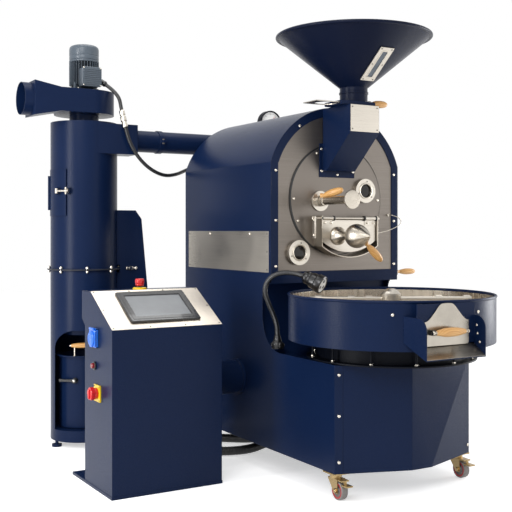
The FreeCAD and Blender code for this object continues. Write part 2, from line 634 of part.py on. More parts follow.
sight_pane = cylinder("sight_pane", "glass_radius", "6",
                      ("sight_x", "cover_front - ring_depth + 6", "sight_height"), "y")
port_pane = cylinder("port_pane", "glass_radius", "6",
                     ("port_x", "sheet_wall - ring_depth + 6", "port_height"), "y")
hopper_pane = solid("hopper_pane", window_slab(value("window_width - 2 * window_border"),
                                               value("window_length - 2 * window_border"), 3, 1))
node("window_glasses", group("panes", sight_pane, port_pane, hopper_pane))


def feed_chute():
    """Box from the slide gate down to the drum's mouth, with its flange and the gate's guides."""
    outer = [("0 - running_gap", "chute_top"), ("0 - chute_reach", "chute_top"),
             ("0 - chute_reach", "chute_front_bottom"), ("0 - chute_foot", "chute_low"),
             ("0 - running_gap", "chute_low")]
    inner = [("0 - running_gap", "chute_top - sheet_wall"),
             ("sheet_wall - chute_reach", "chute_top - sheet_wall"),
             ("sheet_wall - chute_reach", "chute_front_bottom + 1.5"),
             ("0 - chute_foot", "chute_low + 4"), ("0 - running_gap", "chute_low + 4")]
    outside = profile("chute_outside", "YZ", outer, "2 * chute_half_width",
                      ("0 - chute_half_width", "0", "0"))
    inside = profile("chute_inside", "YZ", inner, "2 * (chute_half_width - sheet_wall)",
                     ("sheet_wall - chute_half_width", "0", "0"))
    flange = box("chute_flange", "2 * chute_flange_half", "4", "150",
                 ("0 - chute_flange_half", "cover_front - 4", "chute_flange_bottom"))
    low_plate = box("guide_low", "180", "2 * gate_half_width + 24", "guide_plate",
                    ("-110", "hopper_y - gate_half_width - 12", "chute_top"))
    rails = []
    for side, start in ((-1, "hopper_y - gate_half_width - 12"),
                        (1, "hopper_y + gate_half_width + running_gap")):
        rails.append(box("guide_rail_%d" % side, "180", "12 - running_gap", "gate_channel",
                         ("-110", start, "chute_top + guide_plate")))
    top_plate = box("guide_top", "180", "2 * gate_half_width + 24", "guide_plate",
                    ("-110", "hopper_y - gate_half_width - 12", "neck_bottom - guide_plate"))
    throat = cylinder("guide_throat", "throat_radius - 8", "60", ("0", "hopper_y", "chute_top - 30"))
    back = box("chute_back", "2 * (chute_half_width - sheet_wall)", "8", "60",
               ("sheet_wall - chute_half_width", "-5", "chute_low + 8"))
    body = fuse("chute_body", cut("chute_box", outside, inside), flange, low_plate, top_plate, *rails)
    return cut("chute", body, throat, back)


node("feed_chute", feed_chute())


def slide_gate():
    plate = box("gate_plate", "gate_length", "2 * gate_half_width", "4",
                ("0 - gate_left", "hopper_y - gate_half_width", "chute_top + 6"))
    hole = cylinder("gate_hole", "gate_hole_radius", "10",
                    ("0 - gate_travel", "hopper_y", "chute_top + 2"))
    block = box("gate_block", "12", "30", "24",
                ("gate_length - gate_left", "hopper_y - 15", "chute_top + 6"))
    steel = fuse("gate_steel", cut("gate_sheet", plate, hole), block)
    grip = cone("gate_grip", "11", "17", "98",
                ("gate_length - gate_left + 12", "hopper_y", "chute_top + 20"), "x")
    return group("gate", steel, grip)


node("slide_gate", slide_gate())

# trier and discharge door


def trier():
    """Sampling tube with its scoop, end disc and cross grip."""
    rod = cylinder("trier_tube", "trier_radius", "trier_reach + 8",
                   ("trier_x", "0 - trier_reach", "trier_height"), "y")
    scoop = cylinder("trier_scoop", "trier_radius", "130", ("trier_x", "8", "trier_height"), "y")
    hollow = cylinder("trier_hollow", "trier_radius - 3", "126", ("trier_x", "8", "trier_height"), "y")
    above = box("trier_above", "60", "110", "30", ("trier_x - 30", "18", "trier_height"))
    disc = cylinder("trier_disc", "trier_disc_radius", "8",
                    ("trier_x", "0 - trier_reach - 8", "trier_height"), "y")
    collar = cylinder("trier_collar", "trier_radius + 6", "24",
                      ("trier_x", "-42", "trier_height"), "y")
    steel = fuse("trier_steel", rod, cut("trier_spoon", scoop, hollow, above), disc, collar)
    grip = cone("trier_grip", "9", "14", "trier_grip_length",
                ("trier_x - 13", "-30", "trier_height + trier_radius + 3.5"), lying(0.42, -0.87, 0.24))
    seat = cylinder("trier_grip_seat", "trier_radius + 6", "24", ("trier_x", "-42", "trier_height"), "y")
    beside = cylinder("trier_grip_side", "trier_radius", "trier_reach",
                      ("trier_x", "0 - trier_reach", "trier_height"), "y")
    return group("trier_parts", steel, cut("trier_wood", grip, seat, beside))


node("trier", trier())

door_half = "(spout_half_width - cheek_wall - 3)"
door_blank = box("door_blank", "2 * " + door_half, "4", "hinge_height - 8 - 940",
                 ("spout_x - " + door_half, "-50", "940"))
door_outline = cylinder("door_outline", "spout_radius - 24", "4", ("spout_x", "-50", "drum_height"), "y")
door_pin = cylinder("door_pin", "hinge_pin_radius", "2 * spout_half_width + 55",
                    ("spout_x - spout_half_width - 42", "0 - hinge_front", "hinge_height"), "x")
knuckles = [cylinder("knuckle_%d" % number, "9", "62", (start, "0 - hinge_front", "hinge_height"), "x")
            for number, start in enumerate(("spout_x - " + door_half, "spout_x + " + door_half + " - 62"))]
leaves = [box("leaf_%d" % number, "62", "5", "26", (start, "-52", "hinge_height - 30"))
          for number, start in enumerate(("spout_x - " + door_half, "spout_x + " + door_half + " - 62"))]
side_arm = box("door_side_arm", "8", "16", "96",
               ("spout_x - spout_half_width - 38", "0 - hinge_front - 8", "hinge_height - 88"))
node("discharge_door", fuse("door", common("door_sheet", door_blank, door_outline), door_pin,
                            side_arm, *knuckles, *leaves))


def door_lock():
    """Turned steel weight on the door with its wooden grip."""
    def turned(tag, low, high, start, end):
        return cone("lock_" + tag, low, high, "%s - (%s)" % (end, start),
                    ("lock_x", "0 - (%s)" % start, "lock_height"), "-y")
    foot = cylinder("lock_foot", "36", "8", ("lock_x", "-50 - running_gap", "lock_height"), "-y")
    waist = turned("waist", "30", "13", "56", "118")
    bell = turned("bell", "13", "weight_radius", "117", "190")
    tip = turned("tip", "weight_radius", "5", "190", "lock_reach")
    steel = fuse("lock_steel", foot, waist, bell, tip)
    lean = math.radians(-42)
    grip = cone("lock_grip", "9", "15", "118",
                ("lock_x + %.3f" % (44 * math.cos(lean)), "-215",
                 "lock_height + %.3f" % (44 * math.sin(lean))),
                lying(math.cos(lean), 0, math.sin(lean)))
    return group("lock", cut("lock_wood", grip, tip, bell), steel)


node("door_lock", door_lock())

rod = cylinder("air_rod_steel", "rod_radius", "rod_reach - rod_grip_length + rod_travel + 15",
               ("body_half_width - rod_travel - 15", "rod_y", "rod_height"), "x")
rod_stop = cylinder("air_rod_stop", "rod_radius + 6", "8",
                    ("body_half_width - rod_travel - 15", "rod_y", "rod_height"), "x")
rod_grip = cone("air_rod_grip", "10", "14", "rod_grip_length",
                ("body_half_width + rod_reach - rod_grip_length", "rod_y", "rod_height"), "x")
node("air_rod", group("rod_parts", fuse("rod_steel", rod, rod_stop), rod_grip))

# cooling tray

tray_mouth = box("tray_mouth", "gate_right_edge - gate_left_edge - 26", "140", "80",
                 ("gate_left_edge + 13", "gate_y - 4", "tray_floor + 3"))
tray_wall = tube("tray_wall", "tray_radius", "sheet_wall", "tray_rim - tray_bottom",
                 ("0", "tray_y", "tray_bottom"))
tray_rim = torus("tray_rim_bead", "tray_radius - 2", "tray_bead", ("0", "tray_y", "tray_rim"))
rim_clear = cylinder("tray_rim_clear", "tray_radius - 2 * sheet_wall", "30",
                     ("0", "tray_y", "tray_rim - 15"))
node("tray_shell", cut("tray_body", fuse("tray_outer", tray_wall, cut("tray_bead_cut", tray_rim,
                                                                     rim_clear)), tray_mouth))

liner_wall = tube("liner_wall", "tray_radius - sheet_wall", "sheet_wall",
                  "tray_rim - tray_bead - tray_floor", ("0", "tray_y", "tray_floor"))
liner_floor = cylinder("liner_floor", "tray_radius - sheet_wall", "sheet_wall",
                       ("0", "tray_y", "tray_floor"))
liner_hole = cylinder("liner_hole", "agitator_shaft_radius + 2", "20", ("0", "tray_y", "tray_floor - 5"))
node("tray_liner", cut("liner", fuse("liner_body", liner_wall, liner_floor), liner_hole, tray_mouth))


def tray_plenum():
    """Suction chamber under the tray, its studs, and the agitator's gear motor inside it."""
    at = ("0", "tray_y")
    drum = tube("plenum_wall", "plenum_radius", "4", "tray_bottom - deck_height - plenum_lift",
                at + ("deck_height + plenum_lift",))
    floor = cut("plenum_floor",
                cylinder("plenum_disc", "plenum_radius", "sheet_wall", at + ("deck_height + plenum_lift",)),
                cylinder("plenum_floor_hole", "collar_reach - 10", "20", at + ("deck_height + 20",)))
    collar = tube("plenum_collar", "collar_reach", "4", "plenum_lift + sheet_wall", at + ("deck_height",))
    lid = cylinder("plenum_lid", "tray_radius - sheet_wall", "sheet_wall", at + ("tray_bottom",))
    ring = tube("plenum_ring", "plenum_radius + 42", "45", "6", at + ("deck_height + plenum_lift",))
    holes = cylinder("plenum_hole", "120", "20", at + ("tray_bottom - 8",))
    motor = cylinder("gear_motor", "42", "tray_floor - 10 - deck_height", at + ("deck_height",))
    web = box("gear_web", "300", "30", "8", ("-150", "tray_y - 15", "tray_bottom"))
    studs = []
    for number in range(12):
        turn = math.radians(30 * number + 8)
        studs.append(cylinder("plenum_stud_%d" % number, "5", "tray_bottom - deck_height - plenum_lift",
                              ("(plenum_radius + 24) * %.4f" % math.cos(turn),
                               "tray_y + (plenum_radius + 24) * %.4f" % math.sin(turn),
                               "deck_height + plenum_lift + 1")))
    return fuse("plenum", drum, floor, collar, cut("plenum_plate", lid, holes), ring, motor, web, *studs)


node("tray_plenum", tray_plenum())


def tray_chute():
    """Two cheeks and the sloping floor in front of the tray's outlet."""
    front = "0 - chute_front"
    side = [("tray_y - 200", "cheek_top"), (front, "cheek_top - 8"), (front, "chute_lip_height"),
            ("tray_y - 200", "chute_lip_height + 120")]
    left = profile("cheek_left", "YZ", side, "sheet_wall", ("chute_left", "0", "0"), ((1, "44"),))
    right = profile("cheek_right", "YZ", side, "sheet_wall", ("chute_right - sheet_wall", "0", "0"),
                    ((1, "44"),))
    slope = [("tray_y - 200", "chute_lip_height + 120 + 84"), (front, "chute_lip_height + 4"),
             (front, "chute_lip_height"), ("tray_y - 200", "chute_lip_height + 120 + 80")]
    floor = profile("chute_floor", "YZ", slope, "chute_right - chute_left", ("chute_left", "0", "0"))
    stops = [box("gate_stop_%d" % number, "gate_left_edge + 14 - chute_left", "3", "cheek_top - 650",
                 (start, "gate_y + running_gap", "650"))
             for number, start in enumerate(("chute_left",
                                             "chute_right - gate_left_edge - 14 + chute_left"))]
    keep_out = cylinder("chute_keep_out", "tray_radius", "400", ("0", "tray_y", "500"))
    return cut("chute_front_part", fuse("chute_sheets", left, right, floor, *stops), keep_out)


node("tray_chute", tray_chute())


def tray_gate():
    """Lifting gate with its wooden cross grip."""
    shape = [("gate_left_edge", "gate_bottom"), ("gate_right_edge", "gate_bottom"),
             ("gate_right_edge", "720"), ("gate_right_edge - 34", "744"),
             ("gate_right_edge - 48", "gate_top"), ("gate_left_edge + 48", "gate_top"),
             ("gate_left_edge + 34", "744"), ("gate_left_edge", "720")]
    sheet_part = profile("gate_sheet_part", "XZ", shape, "4", ("0", "gate_y", "0"),
                         ((4, "26"), (5, "26")))
    posts = [box("gate_post_%d" % number, "8", "30", "14", (start, "gate_y - 34", "grip_height - 7"))
             for number, start in enumerate(("gate_left_edge + 17", "gate_right_edge - 44"))]
    rod = cylinder("gate_rod", "5", "gate_right_edge - gate_left_edge - 53",
                   ("gate_left_edge + 17", "gate_y - 34", "grip_height"), "x")
    wood = cylinder("gate_wood", "17", "gate_right_edge - gate_left_edge - 73",
                    ("gate_left_edge + 27", "gate_y - 34", "grip_height"), "x")
    bore = cylinder("gate_wood_bore", "5", "gate_right_edge - gate_left_edge - 73",
                    ("gate_left_edge + 27", "gate_y - 34", "grip_height"), "x")
    return group("lifting_gate", fuse("gate_metal", sheet_part, rod, *posts),
                 cut("gate_handle", wood, bore))


node("tray_gate", tray_gate())


def agitator():
    """Stirring arms with hanging paddles on a domed hub."""
    turn = math.radians(value("arm_angle"))
    along = (math.cos(turn), math.sin(turn))
    across = (-math.sin(turn), math.cos(turn))
    parts = [cylinder("hub", "hub_radius", "dome_top - 22 - tray_floor - 40",
                      ("0", "tray_y", "tray_floor + 40")),
             cylinder("agitator_shaft", "agitator_shaft_radius", "60 - running_gap",
                      ("0", "tray_y", "tray_floor - 10 + running_gap"))]
    dome = sphere("hub_dome", "hub_radius + 2", ("0", "tray_y", "dome_top - hub_radius - 2"))
    dome_top = box("hub_dome_top", "120", "120", "40", ("-60", "tray_y - 60", "dome_top - 24"))
    parts.append(common("hub_cap", dome, dome_top))
    parts.append(cylinder("arm_bar", "arm_radius", "2 * arm_half_length",
                          ("0 - arm_half_length * %.5f" % along[0],
                           "tray_y - arm_half_length * %.5f" % along[1], "arm_height"),
                          lying(*along)))
    for number, radius in enumerate((301, 164, 90, -198, -314)):
        x, y = radius * along[0], radius * along[1]
        parts.append(cylinder("clamp_%d" % number, "14", "26",
                              ("%.3f" % (x - 13 * along[0]), "tray_y + %.3f" % (y - 13 * along[1]),
                               "arm_height"), lying(*along)))
        parts.append(cylinder("drop_%d" % number, "6", "arm_height - tray_floor - 20",
                              ("%.3f" % x, "tray_y + %.3f" % y, "tray_floor + 20")))
        blade = Part.makeBox(70, 4, 34, FreeCAD.Vector(-35, -2, 0))
        blade.rotate(FreeCAD.Vector(0, 0, 0), FreeCAD.Vector(0, 0, 1), value("arm_angle") + 38)
        blade.translate(FreeCAD.Vector(x, value("tray_y") + y, value("tray_floor") + 7))
        parts.append(solid("blade_%d" % number, blade))
    parts.append(cylinder("cross_bar", "arm_radius - 2", "2 * 150",
                          ("0 - 150 * %.5f" % across[0], "tray_y - 150 * %.5f" % across[1],
                           "arm_height - 20"), lying(*across)))
    return fuse("agitator_body", *parts)


node("agitator", agitator())

# drum, drive and burner


def drum():
    """Roasting drum with its vanes, rear shaft and pulley."""
    shell = tube("drum_shell", "drum_radius", "drum_wall", "drum_length",
                 ("0", "drum_front", "drum_height"), "y")
    front = tube("drum_front_ring", "drum_radius", "drum_radius - drum_mouth_radius", "drum_wall",
                 ("0", "drum_front", "drum_height"), "y")
    back = cylinder("drum_back", "drum_radius", "8",
                    ("0", "drum_front + drum_length - 8", "drum_height"), "y")
    shaft = cylinder("drum_shaft", "shaft_radius", "body_depth - 12 - drum_front - drum_length",
                     ("0", "drum_front + drum_length", "drum_height"), "y")
    pulley = cylinder("drum_pulley", "pulley_radius", "pulley_width", ("0", "pulley_y", "drum_height"), "y")
    vanes = []
    for number in range(6):
        vane = Part.makeBox(4, value("drum_length") - 60, value("vane_depth"),
                            FreeCAD.Vector(-2, value("drum_front") + 20,
                                           value("drum_radius - drum_wall - vane_depth") + 1))
        vane.rotate(FreeCAD.Vector(0, 0, 0), FreeCAD.Vector(0, 1, 0), 60 * number + 10)
        vane.translate(FreeCAD.Vector(0, 0, value("drum_height")))
        vanes.append(solid("vane_%d" % number, vane))
    return fuse("drum_body", shell, front, back, shaft, pulley, *vanes)


node("drum", drum())


def belt_loop():
    """Flat belt round the two pulleys, a running gap off each."""
    big = value("pulley_radius + running_gap")
    small = value("motor_pulley_radius + running_gap")
    start = FreeCAD.Vector(0, value("pulley_y") + 1, value("drum_height"))
    end = FreeCAD.Vector(value("motor_x"), value("pulley_y") + 1, value("motor_height"))
    width = value("pulley_width") - 2

    def loop(grow):
        reach = (end - start).Length
        lean = math.asin((big - small) / reach)
        line = math.atan2(end.z - start.z, end.x - start.x)
        corners = []
        for side in (1, -1):
            angle = line + side * (math.pi / 2 - lean)
            out = FreeCAD.Vector(math.cos(angle), 0, math.sin(angle))
            corners.append((start + out * (big + grow), end + out * (small + grow)))
        ring = [corners[0][0], corners[0][1], corners[1][1], corners[1][0], corners[0][0]]
        web = Part.Face(Part.makePolygon(ring)).extrude(FreeCAD.Vector(0, width, 0))
        discs = [Part.makeCylinder(radius + grow, width, centre, FreeCAD.Vector(0, 1, 0))
                 for radius, centre in ((big, start), (small, end))]
        return web.fuse(discs)
    return solid("belt", loop(value("belt_thickness")).cut(loop(0)))


def drum_drive():
    """Bearing blocks on cross beams, the motor on its shelf and the belt."""
    inner = "(body_half_width - sheet_wall)"
    parts = []
    for number, forward in enumerate(("pulley_y - 65", "pulley_y + 47")):
        beam = box("bearing_beam_%d" % number, "2 * " + inner, "40", "60",
                   ("0 - " + inner, forward, "drum_height - 110"))
        block = box("bearing_block_%d" % number, "120", "32", "110",
                    ("-60", forward + " + 4", "drum_height - 50"))
        parts.append(cut("bearing_%d" % number, fuse("bearing_solid_%d" % number, beam, block),
                         cylinder("bearing_bore_%d" % number, "shaft_radius + bearing_clearance",
                                  "60", ("0", forward + " - 10", "drum_height"), "y")))
    shelf = box("motor_shelf", "2 * " + inner, "176", "10", ("0 - " + inner, "pulley_y - 77", "motor_height - 105"))
    foot = box("motor_foot", "110", "60", "40", ("motor_x - 55", "pulley_y + 31", "motor_height - 95"))
    motor = cylinder("motor_body", "72", "74", ("motor_x", "pulley_y + 25", "motor_height"), "y")
    shaft = cylinder("motor_shaft", "10", "30", ("motor_x", "pulley_y - 3", "motor_height"), "y")
    pulley = cylinder("motor_pulley", "motor_pulley_radius", "pulley_width",
                      ("motor_x", "pulley_y", "motor_height"), "y")
    parts.append(fuse("motor_unit", shelf, foot, motor, shaft, pulley))
    return group("drive", belt_loop(), *parts)


node("drum_drive", drum_drive())


def burner():
    """Three burner tubes on two hangers, fed by the gas pipe at the back."""
    parts = [box("manifold", "2 * burner_pitch + 60", "34", "34",
                 ("0 - burner_pitch - 30", "body_depth - 236", "burner_height - 17")),
             cylinder("gas_pipe", "gas_pipe_radius", "gas_thread_length + 210",
                      ("0", "body_depth - 210", "burner_height"), "y"),
             cylinder("gas_thread", "gas_thread_radius", "gas_thread_length",
                      ("0", "body_depth", "burner_height"), "y")]
    for number, across in enumerate(("0 - burner_pitch", "0", "burner_pitch")):
        parts.append(cylinder("burner_tube_%d" % number, "burner_tube_radius", "body_depth - 290",
                              (across, "60", "burner_height"), "y"))
    for number, forward in enumerate(("110", "body_depth - 310")):
        parts.append(box("hanger_%d" % number, "2 * (body_half_width - sheet_wall)", "24", "8",
                         ("sheet_wall - body_half_width", forward,
                          "burner_height - burner_tube_radius - 7")))
    return fuse("burner_body", *parts)


node("burner", burner())


def cooling_blower():
    """Suction fan for the tray, its inlet duct and the round outlet through the left side."""
    at = ("-60", "outlet_y - 70", "outlet_height")
    case = cut("blower_case", cylinder("blower_outside", "blower_radius", "140", at, "y"),
               cylinder("blower_inside", "blower_radius - 3", "134",
                        ("-60", "outlet_y - 67", "outlet_height"), "y"))
    out_length = "body_half_width + outlet_reach - 210"
    spigot = tube("outlet_pipe", "outlet_radius", "3", out_length,
                  ("0 - body_half_width - outlet_reach", "outlet_y", "outlet_height"), "x")
    collar = tube("outlet_collar", "outlet_radius + 6", "7", "14",
                  ("0 - body_half_width - 14", "outlet_y", "outlet_height"), "x")
    inlet = tube("inlet_pipe", "60", "3", "outlet_y - 70 - riser_y", ("-60", "riser_y", "outlet_height"), "y")
    riser = tube("inlet_riser", "60", "3", "deck_height - sheet_wall - outlet_height",
                 ("-60", "riser_y", "outlet_height"))
    motor = cylinder("blower_motor", "70", "120", ("-60", "outlet_y + 70", "outlet_height"), "y")
    foot = box("blower_foot", "120", "80", "outlet_height - blower_radius - ground_clearance - 40",
               ("-120", "190", "ground_clearance + 43"))
    return fuse("blower", case, spigot, collar, inlet, riser, motor, foot)


node("cooling_blower", cooling_blower())

# exhaust duct


def exhaust_duct():
    """Round duct from the back of the roaster to the cyclone, with its clamp and dial gauge."""
    length = "pipe_right - inlet_right"
    at = ("inlet_right", "pipe_y", "pipe_height")
    outside = cylinder("duct_outside", "pipe_radius", length, at, "x")
    inside = cylinder("duct_inside", "pipe_radius - pipe_wall", length + " - 4", at, "x")
    neck = box("duct_neck", "2 * pipe_radius", "pipe_y - body_depth", "2 * pipe_radius - 8",
               ("0 - pipe_radius", "body_depth", "pipe_height - pipe_radius + 4"))
    clamp = cylinder("duct_clamp", "pipe_radius + 4", "24", ("clamp_x", "pipe_y", "pipe_height"), "x")
    lug = box("clamp_lug", "20", "24", "14", ("clamp_x + 2", "pipe_y - pipe_radius - 24", "pipe_height - 7"))
    stem = cylinder("gauge_stem", "8", "gauge_height - gauge_radius - pipe_height - pipe_radius + 8",
                    ("gauge_x", "pipe_y", "pipe_height + pipe_radius - 2"))
    case = cylinder("gauge_case", "gauge_radius", "gauge_depth",
                    ("gauge_x", "pipe_y - gauge_depth / 2", "gauge_height"), "y")
    face = cylinder("gauge_recess", "gauge_radius - 5", "4",
                    ("gauge_x", "pipe_y - gauge_depth / 2", "gauge_height"), "y")
    shell = fuse("duct_shell", outside, neck, clamp, lug, stem, case)
    return cut("duct", shell, inside, face)


node("exhaust_duct", exhaust_duct())

# cyclone


def heading_box(name, half_width, reach, low, high):
    """A box that leaves the cyclone's axis along the bin's heading."""
    shape = Part.makeBox(2 * half_width, reach, high - low, FreeCAD.Vector(-half_width, -reach, low))
    shape.rotate(FreeCAD.Vector(0, 0, 0), FreeCAD.Vector(0, 0, 1), -value("bin_heading"))
    shape.translate(FreeCAD.Vector(value("cyclone_x"), value("cyclone_y"), 0))
    return solid(name, shape)


def mouth_corner(name, side, radius):
    """Round upper corner of the bin's opening, as a cylinder lying along the bin's heading."""
    out = around(value("bin_heading"))
    across = (-out[1], out[0])
    offset = side * (value("mouth_half_width") - radius)
    start = ("cyclone_x + %.4f" % (across[0] * offset), "cyclone_y + %.4f" % (across[1] * offset),
             "mouth_top - %d" % radius)
    return cylinder(name, str(radius), "mouth_reach", start, lying(out[0], out[1]))


def sector(name, outer, inner, start, end, low, high):
    """Part of a ring about the cyclone's axis, between two angles from the front towards the left."""
    pie = doc.addObject("Part::Cylinder", name + "_pie")
    bind(pie, "Radius", outer)
    bind(pie, "Height", "%s - (%s)" % (high, low))
    bind(pie, "Angle", "%s - (%s)" % (end, start))
    place(pie, ("cyclone_x", "cyclone_y", low),
          FreeCAD.Rotation(FreeCAD.Vector(0, 0, 1), 270 - value(end)))
    core = cylinder(name + "_core", inner, "%s - (%s)" % (high, low), ("cyclone_x", "cyclone_y", low))
    return cut(name, pie, core)


def cyclone_body():
    at = ("cyclone_x", "cyclone_y")
    outside = cylinder("cyclone_outside", "cyclone_radius", "cyclone_top - cyclone_bottom",
                       at + ("cyclone_bottom",))
    inside = cylinder("cyclone_inside", "cyclone_radius - cyclone_wall",
                      "cyclone_top - bin_bottom - cyclone_wall", at + ("bin_bottom",))
    hollow_foot = cylinder("cyclone_hollow_foot", "cyclone_radius - cyclone_wall",
                           "bin_bottom - 5 - cyclone_bottom", at + ("cyclone_bottom",))
    top_hole = cylinder("cyclone_top_hole", "fan_neck_radius - 3", "20", at + ("cyclone_top - 10",))
    corner = 90
    low = value("mouth_bottom")
    shoulder = value("mouth_top") - corner
    reach = value("mouth_reach")
    mouth = [heading_box("mouth_low", value("mouth_half_width"), reach, low, shoulder),
             heading_box("mouth_high", value("mouth_half_width") - corner, reach, shoulder,
                         value("mouth_top")),
             mouth_corner("mouth_left", -1, corner), mouth_corner("mouth_right", 1, corner)]
    duct_out = box("inlet_outside", "inlet_right - cyclone_x", "inlet_depth", "inlet_top - inlet_bottom",
                   ("cyclone_x", "inlet_front", "inlet_bottom"))
    duct_in = box("inlet_inside", "inlet_right - cyclone_x - 3", "inlet_depth - 6",
                  "inlet_top - inlet_bottom - 6", ("cyclone_x", "inlet_front + 3", "inlet_bottom + 3"))
    duct_hole = cylinder("inlet_hole", "pipe_radius - pipe_wall", "20",
                         ("inlet_right - 10", "pipe_y", "pipe_height"), "x")
    shell = cut("cyclone_shell", fuse("cyclone_solid", outside, duct_out), inside, duct_in, duct_hole,
                hollow_foot, top_hole, *mouth)
    funnel = cut("funnel", cone("funnel_outside", "100", "cyclone_radius - cyclone_wall + 1",
                                "flange_height - 540", at + ("540",)),
                 cone("funnel_inside", "97", "cyclone_radius - cyclone_wall - 3",
                      "flange_height - 540", at + ("540",)))
    flange = tube("cyclone_flange", "flange_radius", "flange_radius - cyclone_radius", "10",
                  at + ("flange_height",))
    parts = [shell, funnel, flange]
    for number in range(8):
        out = around(15 + 45 * number)
        ring = "(flange_radius - 6)"
        parts.append(cylinder("flange_bolt_%d" % number, "5", "30",
                              ("cyclone_x + %s * %.4f" % (ring, out[0]),
                               "cyclone_y + %s * %.4f" % (ring, out[1]), "flange_height - 10")))
    for number in range(4):
        out = around(80 + 90 * number)
        spot = ("cyclone_x + 150 * %.4f" % out[0], "cyclone_y + 150 * %.4f" % out[1])
        parts.append(cylinder("foot_%d" % number, "24", "12", spot + ("0",)))
        parts.append(cylinder("foot_stud_%d" % number, "8", "bin_bottom - 12", spot + ("8",)))
    parts.append(sector("latch_striker", "cyclone_radius + 8", "cyclone_radius - 1", "42", "46.5",
                        "latch_height - 14", "latch_height + 14"))
    return fuse("cyclone", *parts)


node("cyclone_body", cyclone_body())


def spot_on_cyclone(radius, angle, up):
    out = around(angle)
    return ("cyclone_x + (%s) * %.5f" % (radius, out[0]), "cyclone_y + (%s) * %.5f" % (radius, out[1]), up)


door_shell = sector("door_shell", "cyclone_radius + 4", "cyclone_radius + 0.8", "door_start", "door_end",
                    "door_low", "door_high")
door_barrel = cylinder("door_barrel", "6", "door_high - door_low - 60",
                       spot_on_cyclone("cyclone_radius + 7.5", value("door_end") + 1.5, "door_low + 30"))
door_lip = sector("door_lip", "cyclone_radius + 8", "cyclone_radius + 0.8", "door_start",
                  "door_start + 1.2", "door_low + 4", "door_high - 4")
latch_pin = cylinder("latch_pin", "3.4", "34", spot_on_cyclone("cyclone_radius + 24", 64, "latch_height - 17"))
latch_lugs = []
for number, height in enumerate(("latch_height - 17", "latch_height + 12")):
    latch_lugs.append(cylinder("latch_lug_%d" % number, "7", "5",
                               spot_on_cyclone("cyclone_radius + 24", 64, height)))
    latch_lugs.append(cylinder("latch_arm_%d" % number, "2.2", "20",
                               spot_on_cyclone("cyclone_radius + 1", 64, height + " + 2.5"),
                               lying(*around(64))))
node("cyclone_door", fuse("door_of_cyclone", door_shell, door_barrel, door_lip, latch_pin, *latch_lugs))


def door_latch():
    """Swing bolt with a wing nut that holds the cyclone's door."""
    start = spot_on_cyclone("cyclone_radius + 24", 64, "latch_height")
    from_x, from_y = around(64)
    to_x, to_y = around(43)
    run = (to_x - from_x, to_y - from_y)
    length = math.hypot(*run) * value("cyclone_radius + 24")
    bolt = cylinder("swing_bolt", "4.5", "%.3f" % length, start, lying(*run))
    eye = cylinder("swing_eye", "8", "23.4", spot_on_cyclone("cyclone_radius + 24", 64, "latch_height - 11.7"))
    bore = cylinder("swing_bore", "3.5", "30", spot_on_cyclone("cyclone_radius + 24", 64, "latch_height - 15"))
    step = (run[0] / math.hypot(*run), run[1] / math.hypot(*run))
    parts = [bolt, eye]
    for tag, radius, back, depth in (("wing", "12", 16, "12"), ("nut", "8", 5, "5")):
        spot = ("%s + %.3f" % (start[0], step[0] * (length - back)),
                "%s + %.3f" % (start[1], step[1] * (length - back)), "latch_height")
        parts.append(cylinder("latch_" + tag, radius, depth, spot, lying(*step)))
    return cut("latch", fuse("latch_body", *parts), bore)


node("door_latch", door_latch())


def cyclone_stand():
    """Tapered stand column beside the cyclone, hollow, with its tie bolts."""
    left = "cyclone_x + 120"
    outline = [(left, "0"), ("stand_right_bottom", "0"), ("stand_right_shoulder", "stand_shoulder"),
               ("stand_right_top", "stand_top"), (left, "stand_top")]
    inner = [(left, "6"), ("stand_right_bottom - 4", "6"),
             ("stand_right_shoulder - 3", "stand_shoulder - 1"),
             ("stand_right_top - 3", "stand_top - 3"), (left, "stand_top - 3")]
    block = profile("stand_block", "XZ", outline, "stand_depth", ("0", "stand_front + stand_depth", "0"))
    hollow = profile("stand_hollow", "XZ", inner, "stand_depth - 6",
                     ("0", "stand_front + stand_depth - 3", "0"))
    keep_out = cylinder("stand_keep_out", "flange_radius", "stand_top + 20",
                        ("cyclone_x", "cyclone_y", "-10"))
    ties = []
    for number, height in enumerate((700, 862)):
        ties.append(cylinder("tie_bolt_%d" % number, "6", "24", ("-622", "stand_front + 6", str(height)),
                             "-y"))
        ties.append(cylinder("tie_nut_%d" % number, "11", "8", ("-622", "stand_front", str(height)), "-y"))
    wing = box("stand_wing", "70", "3", "stand_top",
               ("cyclone_x + 128", "stand_front", "0"))
    wing_clear = cylinder("stand_wing_clear", "cyclone_radius + 0.6", "stand_top + 20",
                          ("cyclone_x", "cyclone_y", "-10"))
    flange_clear = cylinder("stand_flange_clear", "flange_radius + 0.6", "40",
                            ("cyclone_x", "cyclone_y", "flange_height - 15"))
    shell = cut("stand_shell", block, hollow, keep_out)
    return fuse("stand", shell, cut("stand_wing_cut", wing, wing_clear, flange_clear), *ties)


node("cyclone_stand", cyclone_stand())


